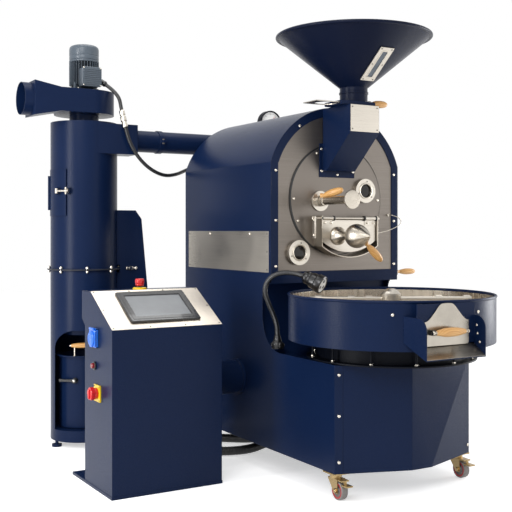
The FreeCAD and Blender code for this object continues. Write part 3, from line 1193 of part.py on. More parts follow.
def chaff_bin():
    at = ("cyclone_x", "cyclone_y")
    outside = cylinder("bin_outside", "bin_radius", "bin_top - bin_bottom - running_gap",
                       at + ("bin_bottom + running_gap",))
    inside = cylinder("bin_inside", "bin_radius - 3", "bin_top - bin_bottom", at + ("bin_bottom + 4",))
    flange = tube("bin_flange", "bin_flange_radius", "bin_flange_radius - bin_radius + 1", "6",
                  at + ("bin_top - 6",))
    out = around(value("bin_heading"))
    across = (-out[1], out[0])
    middle = (out[0] * 112, out[1] * 112)
    posts = []
    for side in (-1, 1):
        spot = ("cyclone_x + %.3f" % (middle[0] + side * 46 * across[0]),
                "cyclone_y + %.3f" % (middle[1] + side * 46 * across[1]))
        posts.append(cylinder("bin_post_%d" % side, "5", "54", spot + ("bin_top - 4",)))
    start = ("cyclone_x + %.3f" % (middle[0] - 62 * across[0]),
             "cyclone_y + %.3f" % (middle[1] - 62 * across[1]), "bin_top + 50")
    wood = cylinder("bin_wood", "13", "124", start, lying(*across))
    steel = fuse("bin_steel", cut("bin_can", outside, inside), flange, *posts)
    return group("bin", cut("bin_grip", wood, *posts), steel)


node("chaff_bin", chaff_bin())


def bin_clamp():
    """Short clamping lever on the bin's front."""
    out = around(40)
    along = (-out[1], out[0])
    base = ("cyclone_x + (bin_radius + running_gap) * %.5f" % out[0],
            "cyclone_y + (bin_radius + running_gap) * %.5f" % out[1], "clamp_height")
    boss = cylinder("clamp_boss", "14", "20", base, lying(*out))
    lever = Part.makeBox(78, 12, 20, FreeCAD.Vector(0, -6, -10))
    lever.rotate(FreeCAD.Vector(0, 0, 0), FreeCAD.Vector(0, 0, 1),
                 math.degrees(math.atan2(-along[1], -along[0])))
    reach = value("bin_radius") + 16
    lever.translate(FreeCAD.Vector(value("cyclone_x") + out[0] * reach,
                                   value("cyclone_y") + out[1] * reach,
                                   value("clamp_height")))
    return fuse("clamp", boss, solid("clamp_lever", lever))


node("bin_clamp", bin_clamp())

# fan


def fan_housing():
    """Round fan case with its flared outlet and collar on the left and the neck to the cyclone."""
    at = ("cyclone_x", "cyclone_y")
    height = "fan_top - fan_bottom"
    case = cylinder("fan_case", "fan_radius", height, at + ("fan_bottom",))
    channel = box("fan_channel", "cyclone_x - duct_left", "140", height,
                  ("duct_left", "cyclone_y - fan_radius", "fan_bottom"))
    void = cylinder("fan_void", "fan_radius - 3", height + " - 6", at + ("fan_bottom + 3",))
    channel_void = box("fan_channel_void", "cyclone_x - duct_left", "134", height + " - 6",
                       ("duct_left", "cyclone_y - fan_radius + 3", "fan_bottom + 3"))
    neck = tube("fan_neck", "fan_neck_radius", "3", "fan_bottom + 3 - cyclone_top",
                at + ("cyclone_top",))
    neck_hole = cylinder("fan_neck_hole", "fan_neck_radius - 3", "20", at + ("fan_bottom - 5",))
    shaft_hole = cylinder("fan_shaft_hole", "14", "20", at + ("fan_top - 10",))

    def section(across, near, far, low, high):
        return Part.makePolygon([FreeCAD.Vector(across, near, low), FreeCAD.Vector(across, far, low),
                                 FreeCAD.Vector(across, far, high), FreeCAD.Vector(across, near, high),
                                 FreeCAD.Vector(across, near, low)])
    near = value("cyclone_y - fan_radius")
    low, high = value("fan_bottom"), value("fan_top")
    start, end = value("duct_left"), value("flare_left")
    grow = value("collar_radius") + 4
    middle = value("collar_height")
    outer = Part.makeLoft([section(start, near, near + 140, low, high),
                           section(end, near, near + 156, middle - grow, middle + grow)], True, True)
    inner = Part.makeLoft([section(start, near + 3, near + 137, low + 3, high - 3),
                           section(end, near + 3, near + 153, middle - grow + 3, middle + grow - 3)],
                          True, True)
    flare = solid("fan_flare", outer.cut(inner))
    face = box("flare_face", "3", "156", "2 * (collar_radius + 4)",
               ("flare_left", "cyclone_y - fan_radius", "collar_height - collar_radius - 4"))
    face_hole = cylinder("flare_hole", "collar_radius - 2", "20",
                         ("flare_left - 8", "collar_y", "collar_height"), "x")
    collar = tube("fan_collar", "collar_radius", "2", "flare_left - (cyclone_x - fan_reach)",
                  ("cyclone_x - fan_reach", "collar_y", "collar_height"), "x")
    body = cut("fan_shell", fuse("fan_solid", case, channel), void, channel_void, neck_hole, shaft_hole)
    return fuse("fan", body, neck, flare, cut("flare_plate", face, face_hole), collar)


node("fan_housing", fan_housing())

impeller_disc = cylinder("impeller_disc", "impeller_radius", "4",
                         ("cyclone_x", "cyclone_y", "fan_top - 22"))
impeller_shaft = cylinder("impeller_shaft", "10", "motor_bottom - fan_top + 22 - running_gap",
                          ("cyclone_x", "cyclone_y", "fan_top - 22"))
blades = []
for number in range(10):
    blade = Part.makeBox(52, 3, 60, FreeCAD.Vector(value("impeller_radius") - 54, -1.5,
                                                  value("fan_top") - 81))
    blade.rotate(FreeCAD.Vector(0, 0, 0), FreeCAD.Vector(0, 0, 1), 36 * number)
    blade.translate(FreeCAD.Vector(value("cyclone_x"), value("cyclone_y"), 0))
    blades.append(solid("impeller_blade_%d" % number, blade))
node("fan_impeller", fuse("impeller", impeller_disc, impeller_shaft, *blades))


cable_points = [(left, value("body_depth") + behind, height) for left, behind, height in (
    (-756, 66, 1769), (-708, 16, 1722), (-700, -4, 1640), (-690, -24, 1560), (-668, -28, 1480),
    (-622, -32, 1405), (-556, -30, 1350), (-476, -18, 1322), (-395, 15, 1334), (-325, 73, 1356),
    (-255, 112, 1382), (-182, 102, 1398), (-145, 62, 1400), (-145, 12, 1400))]


def fan_motor():
    """Finned motor on a four-legged flange, with its terminal box and cable gland."""
    at = ("cyclone_x", "cyclone_y")
    foot = tube("motor_flange", "motor_radius + 8", "40", "8", at + ("fan_top",))
    waist = tube("motor_waist", "motor_radius - 10", "16", "motor_bottom - fan_top", at + ("fan_top",))
    case = cylinder("motor_case", "motor_radius - 8", "motor_top - cowl_height - motor_bottom", at + ("motor_bottom",))
    cowl = cylinder("motor_cowl", "motor_radius", "cowl_height", at + ("motor_top - cowl_height",))
    fins = []
    for number in range(24):
        fin = Part.makeBox(10, 3, 130, FreeCAD.Vector(value("motor_radius") - 10, -1.5,
                                                     value("motor_bottom") + 2))
        fin.rotate(FreeCAD.Vector(0, 0, 0), FreeCAD.Vector(0, 0, 1), 15 * number)
        fin.translate(FreeCAD.Vector(value("cyclone_x"), value("cyclone_y"), 0))
        fins.append(solid("motor_fin_%d" % number, fin))
    terminal = box("terminal_box", "96", "62", "96", ("cyclone_x - 46", "cyclone_y - 112", "motor_bottom - 10"))
    start, along = cable_points[0], cable_points[1]
    aim = FreeCAD.Vector(*along) - FreeCAD.Vector(*start)
    root = FreeCAD.Vector(*start) - aim.normalize() * 26
    elbow = cylinder("motor_elbow", "13", "26", tuple("%.4f" % size for size in root),
                     lying(aim.x, aim.y, aim.z))
    gland = cylinder("motor_gland", "13", "24", ("%.4f - 20" % root.x, "%.4f" % root.y,
                                                 "%.4f" % root.z), "x")
    return fuse("motor", foot, waist, case, cowl, terminal, gland, elbow, *fins)


node("fan_motor", fan_motor())

node("motor_cable", solid("cable_tube", rounded_route("motor_cable", cable_points,
                                                      value("cable_diameter"))))

# console


def console_cabinet():
    """Sheet cabinet with a sloping desk, its floor flange with a bolt tab, glands and socket frame."""
    outer = [("console_front", "base_thickness"), ("console_front", "desk_height"),
             ("ledge_front", "ledge_height"), ("ledge_back", "ledge_height"),
             ("ledge_back", "notch_high"), ("console_back", "notch_low"),
             ("console_back", "base_thickness")]
    inner = [("console_front + 3", "base_thickness"), ("console_front + 3", "desk_height - 1.5"),
             ("ledge_front", "ledge_height - 3"), ("ledge_back - 3", "ledge_height - 3"),
             ("ledge_back - 3", "notch_high"), ("console_back - 3", "notch_low"),
             ("console_back - 3", "base_thickness")]
    outside = profile("cabinet_outside", "YZ", outer, "console_width", ("console_left", "0", "0"))
    inside = profile("cabinet_inside", "YZ", inner, "console_width - 6", ("console_left + 3", "0", "0"))
    base = box("console_base", "console_width + 4", "base_back - console_front + 2", "base_thickness",
               ("console_left - 2", "console_front - 2", "0"))
    tabs = [box("console_tab_%d" % number, "60", "60", "base_thickness",
                (start, "base_back - 2", "0"))
            for number, start in enumerate(("console_left - 2", "console_left + tab_spacing - 2"))]
    holes = [cylinder("tab_hole_%d" % number, "6.5", "base_thickness + 4",
                      (start, "base_back + 30", "-2"))
             for number, start in enumerate(("console_left + 28", "console_left + tab_spacing + 28"))]
    glands = [cylinder("console_gland_%d" % number, "hose_diameter / 2 + 5", "24",
                       ("console_left + %d" % across, "console_back", "64"), "y")
              for number, across in enumerate((251, 341))]
    bezel = cylinder("button_bezel", "16", "6", ("console_left - 6", "button_y", "button_height"), "x")
    bore = cylinder("button_bore", "button_radius + bore_gap", "30",
                    ("console_left - 10", "button_y", "button_height"), "x")
    socket = box("socket_frame", "9", "70", "78",
                 ("console_left - 9", "socket_y - 35", "socket_height - 39"))
    socket_bore = cylinder("socket_bore", "21", "9", ("console_left - 9", "socket_y", "socket_height"), "x")
    stop_bore = cylinder("stop_bore", "button_radius + bore_gap", "20", ("stop_x", "stop_y", "ledge_height - 10"))
    body = fuse("console_sheets", cut("cabinet", outside, inside), base, bezel, socket, *tabs, *glands)
    return cut("console", body, bore, socket_bore, stop_bore, *holes)


node("console_cabinet", console_cabinet())

desk_rise = value("ledge_height - desk_height")
desk_run = value("ledge_front - console_front")
desk_angle = math.degrees(math.atan2(desk_rise, desk_run))
desk_tilt = FreeCAD.Rotation(FreeCAD.Vector(1, 0, 0), desk_angle)
desk_length = math.hypot(desk_rise, desk_run)


def on_desk(along, lift):
    """A point on the sloping desk: distance up the slope and height off it, as Y and Z texts."""
    turn = math.radians(desk_angle)
    forward = along * math.cos(turn) - lift * math.sin(turn)
    up = along * math.sin(turn) + lift * math.cos(turn)
    return "console_front + %.4f" % forward, "desk_height + %.4f" % up


def desk_slab(name, length, width, thickness, left, along, lift):
    forward, up = on_desk(along, lift)
    return box(name, length, width, thickness, (left, forward, up), desk_tilt)


node("console_top_plate", desk_slab("desk_plate", "console_width", desk_length, "2", "console_left", 0, 0))
screen_case = desk_slab("screen_case", "screen_width", "screen_length", "screen_thickness",
                        "console_left + screen_left", value("screen_offset"), 2)
screen_recess = desk_slab("screen_recess", "screen_width - 2 * screen_side", "screen_length - 2 * screen_end",
                          "2 * screen_sunk", "console_left + screen_left + screen_side",
                          value("screen_offset + screen_end"), value("2 + screen_thickness - screen_sunk"))
node("touch_screen", cut("screen", screen_case, screen_recess))

stop_ring = cylinder("stop_ring", "30", "5", ("stop_x", "stop_y", "ledge_height"))
stop_ring_bore = cylinder("stop_ring_bore", "button_radius + bore_gap", "5", ("stop_x", "stop_y", "ledge_height"))
switch_plate = box("switch_plate", "6", "66", "66",
                   ("console_left - 6", "switch_y - 33", "switch_height - 33"))
node("yellow_plates", group("yellows", cut("stop_washer", stop_ring, stop_ring_bore), switch_plate))

stop_stem = cylinder("stop_stem", "button_radius", "34", ("stop_x", "stop_y", "ledge_height - 10"))
stop_head = cone("stop_head", "17", "20", "10", ("stop_x", "stop_y", "ledge_height + 16"))
stop_cap = cylinder("stop_cap", "20", "20", ("stop_x", "stop_y", "ledge_height + 26"))
node("emergency_stop", fuse("stop_mushroom", stop_stem, stop_head, stop_cap))

knob_disc = cylinder("knob_disc", "24", "14",
                     ("console_left - 6 - running_gap", "switch_y", "switch_height"), "-x")
knob_bar = box("knob_bar", "24", "16", "50",
               ("console_left - 44", "switch_y - 8", "switch_height - 25"))
node("main_switch", fuse("knob", knob_disc, knob_bar))
node("stop_button", cylinder("button", "button_radius", "30", ("console_left - 18", "button_y", "button_height"), "x"))
flap_plate = box("flap_plate", "6", "66", "70",
                 ("console_left - 15 - running_gap", "socket_y - 33", "socket_height - 35"))
flap_barrel = cylinder("flap_barrel", "5", "50",
                       ("console_left - 14 - running_gap", "socket_y - 25", "socket_height + 37"), "y")
node("socket_flap", fuse("flap", flap_plate, flap_barrel))

# conduits on the floor

gland_y = value("console_back") + 24
floor_line = value("hose_diameter") / 2.0 + 0.5
front_route = [(-745, gland_y, 64), (-745, 392, 64), (-697, 465, 48), (-612, 500, 28),
               (-520, 478, floor_line), (-432, 420, floor_line), (-338, 362, floor_line),
               (-240, 345, 25), (-150, 368, 38), (-60, 383, 46), (39, 383, 46)]
rear_route = [(-835, gland_y, 64), (-835, 390, 64), (-812, 478, 48), (-755, 560, 28),
              (-672, 620, floor_line), (-575, 662, floor_line), (-470, 690, floor_line),
              (-365, 685, floor_line), (-270, 643, floor_line), (-203, 575, 24), (-160, 503, 32),
              (-103, 458, 40), (-30, 441, 46), (39, 441, 46)]
for label, route in (("hose_front", front_route), ("hose_rear", rear_route)):
    node(label, solid(label + "_tube", rounded_route(label, route, value("hose_diameter"))))

# lamp

lamp_x, lamp_y = value("lamp_x"), value("lamp_y")
neck_route = [(lamp_x, lamp_y, value("lamp_foot") + 50), (lamp_x - 2, lamp_y + 4, 640),
              (lamp_x - 14, lamp_y + 12, 688), (lamp_x - 34, lamp_y + 18, 736),
              (lamp_x - 51, lamp_y + 18, 784), (lamp_x - 48, lamp_y + 8, 826),
              (lamp_x - 24, lamp_y - 10, 856), (lamp_x + 8, lamp_y - 34, 868),
              (lamp_x + 44, lamp_y - 64, 866), (lamp_x + 78, lamp_y - 98, 854)]
gooseneck = solid("gooseneck", rounded_route("gooseneck", neck_route, 2 * value("gooseneck_radius")))
lamp_foot = fuse("lamp_base", cylinder("lamp_pivot", "21", "16", ("lamp_x", "lamp_y", "lamp_foot + running_gap")),
                 cone("lamp_shoulder", "21", "14", "36", ("lamp_x", "lamp_y", "lamp_foot + 16 + running_gap")))
lamp_aim = FreeCAD.Vector(45, -72, -38).normalize()
lamp_neck = FreeCAD.Vector(*neck_route[-1])


def lamp_ring(name, radius, start, length):
    spot = lamp_neck + lamp_aim * start
    return cylinder(name, radius, length, ("%.3f" % spot.x, "%.3f" % spot.y, "%.3f" % spot.z),
                    lying(lamp_aim.x, lamp_aim.y, lamp_aim.z))


node("lamp_arm", fuse("lamp", gooseneck, lamp_foot, lamp_ring("lamp_socket", "22", -8, "34"),
                      lamp_ring("lamp_body", "29", 22, "30"),
                      lamp_ring("lamp_head", "lamp_radius", 46, "30")))

# castors


def fork(name, across, pivot_y, trail, swivel):
    """Pressed fork with its top plate and axle. A swivelling one turns under its own race."""
    half = value("wheel_width") / 2.0 + 2
    top = value("ground_clearance") - (6 + value("running_gap") if swivel else 0)
    crown = top - 22
    axle_y = pivot_y - trail
    low = value("wheel_radius")
    parts = [cylinder(name + "_race", "24", "%.3f" % (top - crown - 6),
                      (across, "%.3f" % pivot_y, "%.3f" % (crown + 6))),
             box(name + "_crown", "%.3f" % (2 * half + 6), "62", "6",
                 ("%s - %.3f" % (across, half + 3), "%.3f" % (pivot_y - 36), "%.3f" % crown))]
    for side in (-1, 1):
        start = half if side > 0 else -half - 3
        outline = [FreeCAD.Vector(0, pivot_y + 26, crown + 2), FreeCAD.Vector(0, pivot_y - 36, crown + 2),
                   FreeCAD.Vector(0, axle_y - 12, low - 10), FreeCAD.Vector(0, axle_y + 12, low - 10)]
        leg = Part.Face(Part.makePolygon(outline + [outline[0]])).extrude(FreeCAD.Vector(3, 0, 0))
        leg.translate(FreeCAD.Vector(value(across) + start, 0, 0))
        parts.append(solid("%s_leg_%d" % (name, side), leg))
    parts.append(cylinder(name + "_axle", "axle_radius", "%.3f" % (2 * half + 12),
                          ("%s - %.3f" % (across, half + 6), "%.3f" % axle_y, "%.3f" % low), "x"))
    return parts


def wheel(label, across, axle_y):
    tread = cylinder(label + "_tread", "wheel_radius", "wheel_width",
                     ("%s - wheel_width / 2" % across, axle_y, "wheel_radius"), "x")
    bore = cylinder(label + "_bore", "axle_radius + bore_gap", "wheel_width",
                    ("%s - wheel_width / 2" % across, axle_y, "wheel_radius"), "x")
    return node(label, cut(label + "_body", tread, bore))


for side, across in (("left", "0 - front_castor_x"), ("right", "front_castor_x")):
    name = "fork_" + side
    pedal = box(name + "_pedal", "30", "36", "5",
                ("%s - 15" % across, "front_castor_y - castor_trail - wheel_radius - 30", "62"))
    pedal_arm = box(name + "_pedal_arm", "wheel_width + 6", "40", "5",
                    ("%s - wheel_width / 2 - 3" % across, "front_castor_y - castor_trail - wheel_radius",
                     "77.5"))
    pedal_leg = box(name + "_pedal_leg", "12", "5", "20",
                    ("%s - 6" % across, "front_castor_y - castor_trail - wheel_radius - 1", "62"))
    node("castor_fork_" + side, fuse(name, pedal, pedal_arm, pedal_leg,
                                     *fork(name, across, value("front_castor_y"),
                                           value("castor_trail"), True)))
    wheel("castor_wheel_" + side, across, "front_castor_y - castor_trail")
rear_forks = []
for side, across in (("left", "0 - rear_castor_x"), ("right", "rear_castor_x")):
    rear_forks.append(fuse("rear_fork_" + side, *fork("rear_" + side, across, value("rear_castor_y"),
                                                      0, False)))
    wheel("rear_wheel_" + side, across, "rear_castor_y")
top_plates = [box("castor_plate_%d" % number, "90", "80", "6",
                  ("%s - 45" % across, "front_castor_y - 40", "ground_clearance - 6"))
              for number, across in enumerate(("0 - front_castor_x + 10", "front_castor_x - 10"))]
node("rear_castor_brackets", group("fixed_castor_parts", *rear_forks, *top_plates))

# check and write

doc.recompute()
faults = [obj.Name for obj in doc.Objects if "Invalid" in obj.State or "Error" in obj.State]
for obj in nodes:
    if obj.Shape.isNull() or not obj.Shape.isValid() or not obj.Shape.Solids:
        faults.append(obj.Label + " shape")
if faults:
    raise SystemExit("failed: " + ", ".join(faults))
os.makedirs("parts", exist_ok=True)
for obj in nodes:
    obj.Shape.exportStep("parts/%s.step" % obj.Label)
print("%d nodes, %d solids" % (len(nodes), sum(len(obj.Shape.Solids) for obj in nodes)))
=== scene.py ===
import math
import bmesh
import bpy
import numpy as np
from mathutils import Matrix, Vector


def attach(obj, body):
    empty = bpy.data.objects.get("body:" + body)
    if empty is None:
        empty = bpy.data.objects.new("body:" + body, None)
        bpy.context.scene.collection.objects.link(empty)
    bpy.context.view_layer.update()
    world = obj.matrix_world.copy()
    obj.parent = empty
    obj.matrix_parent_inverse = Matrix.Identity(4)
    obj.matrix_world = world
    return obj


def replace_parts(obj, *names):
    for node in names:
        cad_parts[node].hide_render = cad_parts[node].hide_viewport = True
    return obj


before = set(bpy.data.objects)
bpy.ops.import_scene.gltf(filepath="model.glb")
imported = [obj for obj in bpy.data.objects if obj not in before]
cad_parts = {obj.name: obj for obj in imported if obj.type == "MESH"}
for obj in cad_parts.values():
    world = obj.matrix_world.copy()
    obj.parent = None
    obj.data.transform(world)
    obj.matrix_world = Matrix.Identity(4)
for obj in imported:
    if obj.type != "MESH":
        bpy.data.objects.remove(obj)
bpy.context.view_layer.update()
print("frame loaded:", len(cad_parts), "nodes")

toLayout = np.array([332.5, -150.5, 0.0])  # mm from the foot of the front plate to the layout's middle
rightwards, leftwards, forwards, backwards = (1, 0, 0), (-1, 0, 0), (0, -1, 0), (0, 1, 0)
upwards, downwards = (0, 0, 1), (0, 0, -1)
frontFace, leftFace = (rightwards, upwards), (forwards, upwards)  # right and up on a face, seen from outside


# shapes

def place(points):
    # millimetres from the foot of the front plate, moved to the layout's middle, in metres
    return (np.asarray(points, float) + toLayout) / 1000.0


def unit(vector):
    vector = np.asarray(vector, float)
    return vector / np.linalg.norm(vector, axis=-1, keepdims=True)


def sidesOf(axes):
    # two directions square to each axis: the first lies level where it can
    axes = unit(axes)
    level = np.cross(np.broadcast_to([0.0, 0.0, 1.0], axes.shape), axes)
    upright = np.cross(np.broadcast_to([0.0, -1.0, 0.0], axes.shape), axes)
    across = unit(np.where(np.linalg.norm(level, axis=-1, keepdims=True) > 0.05, level, upright))
    return axes, across, np.cross(axes, across)


def ringOf(middle, radius, turns, across=rightwards, up=upwards):
    # middle + radius * (cos t * across + sin t * up), for each angle t in degrees
    t = np.radians(turns)[:, None]
    return np.asarray(middle, float) + radius * (np.cos(t) * np.asarray(across) + np.sin(t) * np.asarray(up))


def circle(count, start=0.0, end=2 * np.pi, closed=False):
    # (cos t, sin t) at even angles
    t = np.linspace(start, end, count, endpoint=closed)
    return np.stack([np.cos(t), np.sin(t)], 1)


def gridFaces(rows, cols, closeRows=False, closeCols=False):
    # neighbouring points of a grid joined in fours, as whole arrays
    i = np.arange(rows if closeRows else rows - 1)[:, None]
    j = np.arange(cols if closeCols else cols - 1)[None, :]
    here, there = i * cols, ((i + 1) % rows) * cols
    return np.stack([here + j, here + (j + 1) % cols, there + (j + 1) % cols, there + j], -1).reshape(-1, 4)


def copied(faces, count, points):
    # the faces of one shape said again for each of its copies, which have that many points each
    return (faces[None] + (np.arange(count) * points)[:, None, None]).reshape(-1, 4)


def travelled(path):
    # the distance along a path up to each of its points
    return np.concatenate([[0], np.cumsum(np.linalg.norm(np.diff(path, axis=0), axis=1))])


def flowing(points, steps=8):
    # a curve through the points: each stretch is the cubic of its four nearest points
    p = np.asarray(points, float)
    q = np.vstack([2 * p[0] - p[1], p, 2 * p[-1] - p[-2]])
    t = np.linspace(0, 1, steps, endpoint=False)[None, :, None]
    a, b, c, d = (q[k:k + len(p) - 1, None, :] for k in range(4))
    curve = 0.5 * (2 * b + (c - a) * t + (2 * a - 5 * b + 4 * c - d) * t ** 2
                   + (3 * b - a - 3 * c + d) * t ** 3)
    return np.vstack([curve.reshape(-1, p.shape[1]), p[-1:]])


def bellied(points, steps=5):
    # a profile that flows through its (s, r) points and is closed to the axis at both ends
    return np.vstack([[points[0][0], 0], flowing(points, steps), [points[-1][0], 0]])


def eased(points, size):
    # every inner corner traded for three points on a small curve of about that size
    p = np.asarray(points, float)
    before, corner, after = p[:-2], p[1:-1], p[2:]
    back, on = before - corner, after - corner
    backLong = np.linalg.norm(back, axis=1, keepdims=True) + 1e-9
    onLong = np.linalg.norm(on, axis=1, keepdims=True) + 1e-9
    first = corner + back / backLong * np.minimum(size, 0.45 * backLong)
    last = corner + on / onLong * np.minimum(size, 0.45 * onLong)
    curve = np.stack([first, (first + 2 * corner + last) / 4, last], 1).reshape(-1, 2)
    return np.vstack([p[:1], curve, p[-1:]])


def linked(name, data):
    # a new object with its data, in the scene
    obj = bpy.data.objects.new(name, data)
    bpy.context.scene.collection.objects.link(obj)
    return obj


def piece(name, body, finish, points, faces, lay=None, crease=35, ends=()):
    # a mesh from its points and faces: doubles merged, faces turned outwards, its finish and body given
    mesh = bpy.data.meshes.new(name)
    faceList = [f.tolist() for f in faces] + [list(e) for e in ends]
    mesh.from_pydata(points.reshape(-1, 3).tolist(), [], faceList)
    if lay is not None:
        grain = mesh.attributes.new("lay", "FLOAT_VECTOR", "POINT")
        grain.data.foreach_set("vector", np.asarray(lay, np.float32).ravel())
    obj = linked(name, mesh)
    work = bmesh.new()
    work.from_mesh(mesh)
    bmesh.ops.remove_doubles(work, verts=work.verts, dist=2e-6)
    bmesh.ops.dissolve_degenerate(work, edges=work.edges, dist=1e-7)
    bmesh.ops.recalc_face_normals(work, faces=work.faces)
    work.to_mesh(mesh)
    work.free()
    mesh.shade_smooth()
    mesh.set_sharp_from_angle(angle=math.radians(crease))
    dress(obj, finish)
    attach(obj, body)
    return obj


def repeated(name, body, finish, spots, axes, profile, sides=16, crease=35, bored=False):
    # spot + s * axis + r * (cos t * across + sin t * up), for each spot, each (s, r) and each t
    s, r = np.asarray(profile, float).T
    spots = np.asarray(spots, float)
    axes, across, up = sidesOf(np.broadcast_to(np.asarray(axes, float), spots.shape))
    t = np.linspace(0, 2 * np.pi, sides, endpoint=False)
    ring = np.cos(t)[None, :, None] * across[:, None] + np.sin(t)[None, :, None] * up[:, None]
    points = (spots[:, None, None] + s[None, :, None, None] * axes[:, None, None]
              + r[None, :, None, None] * ring[:, None])
    lay = np.stack(np.broadcast_arrays(s[None, :, None], r[None, :, None] * t, r[None, :, None]), -1) / 1000
    lay = np.broadcast_to(lay, (len(spots),) + lay.shape[1:])
    faces = copied(gridFaces(len(s), sides, bored, True), len(spots), len(s) * sides)
    return piece(name, body, finish, place(points), faces, lay, crease)


def turned(name, body, finish, at, axis, profile, sides=48, bored=False, crease=35):
    # one turned shape; a bored one has its last ring joined to its first
    return repeated(name, body, finish, [at], axis, profile, sides, crease, bored)


def swept(name, body, finish, path, radii, reference, sides=24, crease=35):
    # rings of the given radii carried along a path, each square to it; the reference keeps them from twisting
    path = np.asarray(path, float)
    radii = np.asarray(radii, float)
    tangent = unit(np.gradient(path, axis=0))
    across = unit(np.cross(tangent, np.asarray(reference, float)))
    up = np.cross(tangent, across)
    t = np.linspace(0, 2 * np.pi, sides, endpoint=False)[None, :, None]
    points = path[:, None] + radii[:, None, None] * (np.cos(t) * across[:, None] + np.sin(t) * up[:, None])
    along = travelled(path)[:, None]
    lay = np.stack(np.broadcast_arrays(along, radii[:, None] * t[0, :, 0], radii[:, None]), -1) / 1000
    points = np.concatenate([np.broadcast_to(path[:1, None], (1, sides, 3)), points,
                             np.broadcast_to(path[-1:, None], (1, sides, 3))])
    lay = np.concatenate([lay[:1], lay, lay[-1:]])
    return piece(name, body, finish, place(points), gridFaces(len(points), sides, False, True), lay, crease)


def roundedRectangle(width, height, corner, steps=6):
    # four quarter circles joined by straight sides, anticlockwise
    arc = circle(steps, 0, np.pi / 2, True) * corner
    turns = [np.array([[c, -s], [s, c]]) for c, s in ((1, 0), (0, 1), (-1, 0), (0, -1))]
    middles = np.array([[1, 1], [-1, 1], [-1, -1], [1, -1]]) * [width / 2 - corner, height / 2 - corner]
    return np.vstack([middle + arc @ turn.T for middle, turn in zip(middles, turns)])


def slab(name, body, finish, at, right, up, outline, thickness, bevel=0.8, inner=None, crease=35):
    # an outline given a thickness along right x up, its edges eased; with an inner outline it is a frame
    right, up = unit(right), unit(up)
    out = np.cross(right, up)
    outline = np.asarray(outline, float)
    middle = (outline.max(0) + outline.min(0)) / 2
    half = (outline.max(0) - outline.min(0)) / 2
    small = middle + (outline - middle) * (1 - bevel / half)
    rows = [(small, 0), (outline, bevel), (outline, thickness - bevel), (small, thickness)]
    if inner is not None:
        rows += [(np.asarray(inner, float), thickness), (np.asarray(inner, float), 0)]
    flat = np.array([row for row, lift in rows])
    lift = np.array([lift for row, lift in rows])
    points = np.asarray(at, float) + flat[..., :1] * right + flat[..., 1:] * up + lift[:, None, None] * out
    count = len(outline)
    lay = np.concatenate([flat, np.broadcast_to(lift[:, None, None], flat.shape[:2] + (1,))], -1) / 1000
    ends = [] if inner is not None else [range(count - 1, -1, -1), range(3 * count, 4 * count)]
    return piece(name, body, finish, place(points), gridFaces(len(rows), count, inner is not None, True),
                 lay, crease, ends)


def sheetOf(name, body, finish, grid, lift, crease=35):
    # a surface grid given a wall: the same grid moved by the lift, and the rim between them
    grid = np.asarray(grid, float)
    rows, cols = grid.shape[:2]
    points = np.stack([grid, grid + np.asarray(lift, float)])
    top = gridFaces(rows, cols)
    far = rows * cols
    rim = np.concatenate([np.arange(cols), np.arange(1, rows) * cols + cols - 1,
                          (rows - 1) * cols + np.arange(cols - 2, -1, -1), np.arange(rows - 2, 0, -1) * cols])
    nextRim = np.roll(rim, -1)
    walls = np.stack([rim, nextRim, nextRim + far, rim + far], 1)
    faces = np.concatenate([top, top[:, ::-1] + far, walls])
    lay = (points - points.mean((0, 1, 2))) / 1000
    return piece(name, body, finish, place(points), faces, lay, crease)


def blockOf(low, high, taper=0.0):
    # eight corners of a box, its far side drawn in by the taper
    corners = np.array([(a, b, c) for a in (low[0], high[0]) for b in (low[1], high[1])
                        for c in (low[2], high[2])], float)
    far = corners[:, 0] > low[0]
    corners[far, 1] *= 1 - taper
    return corners


def blocks(name, body, finish, corners):
    # many blocks as one piece, from the eight corners of each
    cube = np.array([[0, 1, 3, 2], [4, 6, 7, 5], [0, 4, 5, 1], [2, 3, 7, 6], [0, 2, 6, 4], [1, 5, 7, 3]])
    lay = (corners - corners.mean((0, 1))) / 1000
    return piece(name, body, finish, place(corners), copied(cube, len(corners), 8), lay, 30)


def spun(name, body, finish, centre, block, angles):
    # one block turned about an upright line to each angle: (x cos a - y sin a, x sin a + y cos a, z)
    a = np.radians(np.asarray(angles, float))[:, None]
    x, y, z = np.asarray(block, float).T
    corners = np.stack([x * np.cos(a) - y * np.sin(a), x * np.sin(a) + y * np.cos(a), z + 0 * a], -1)
    return blocks(name, body, finish, np.asarray(centre, float) + corners)


# finishes

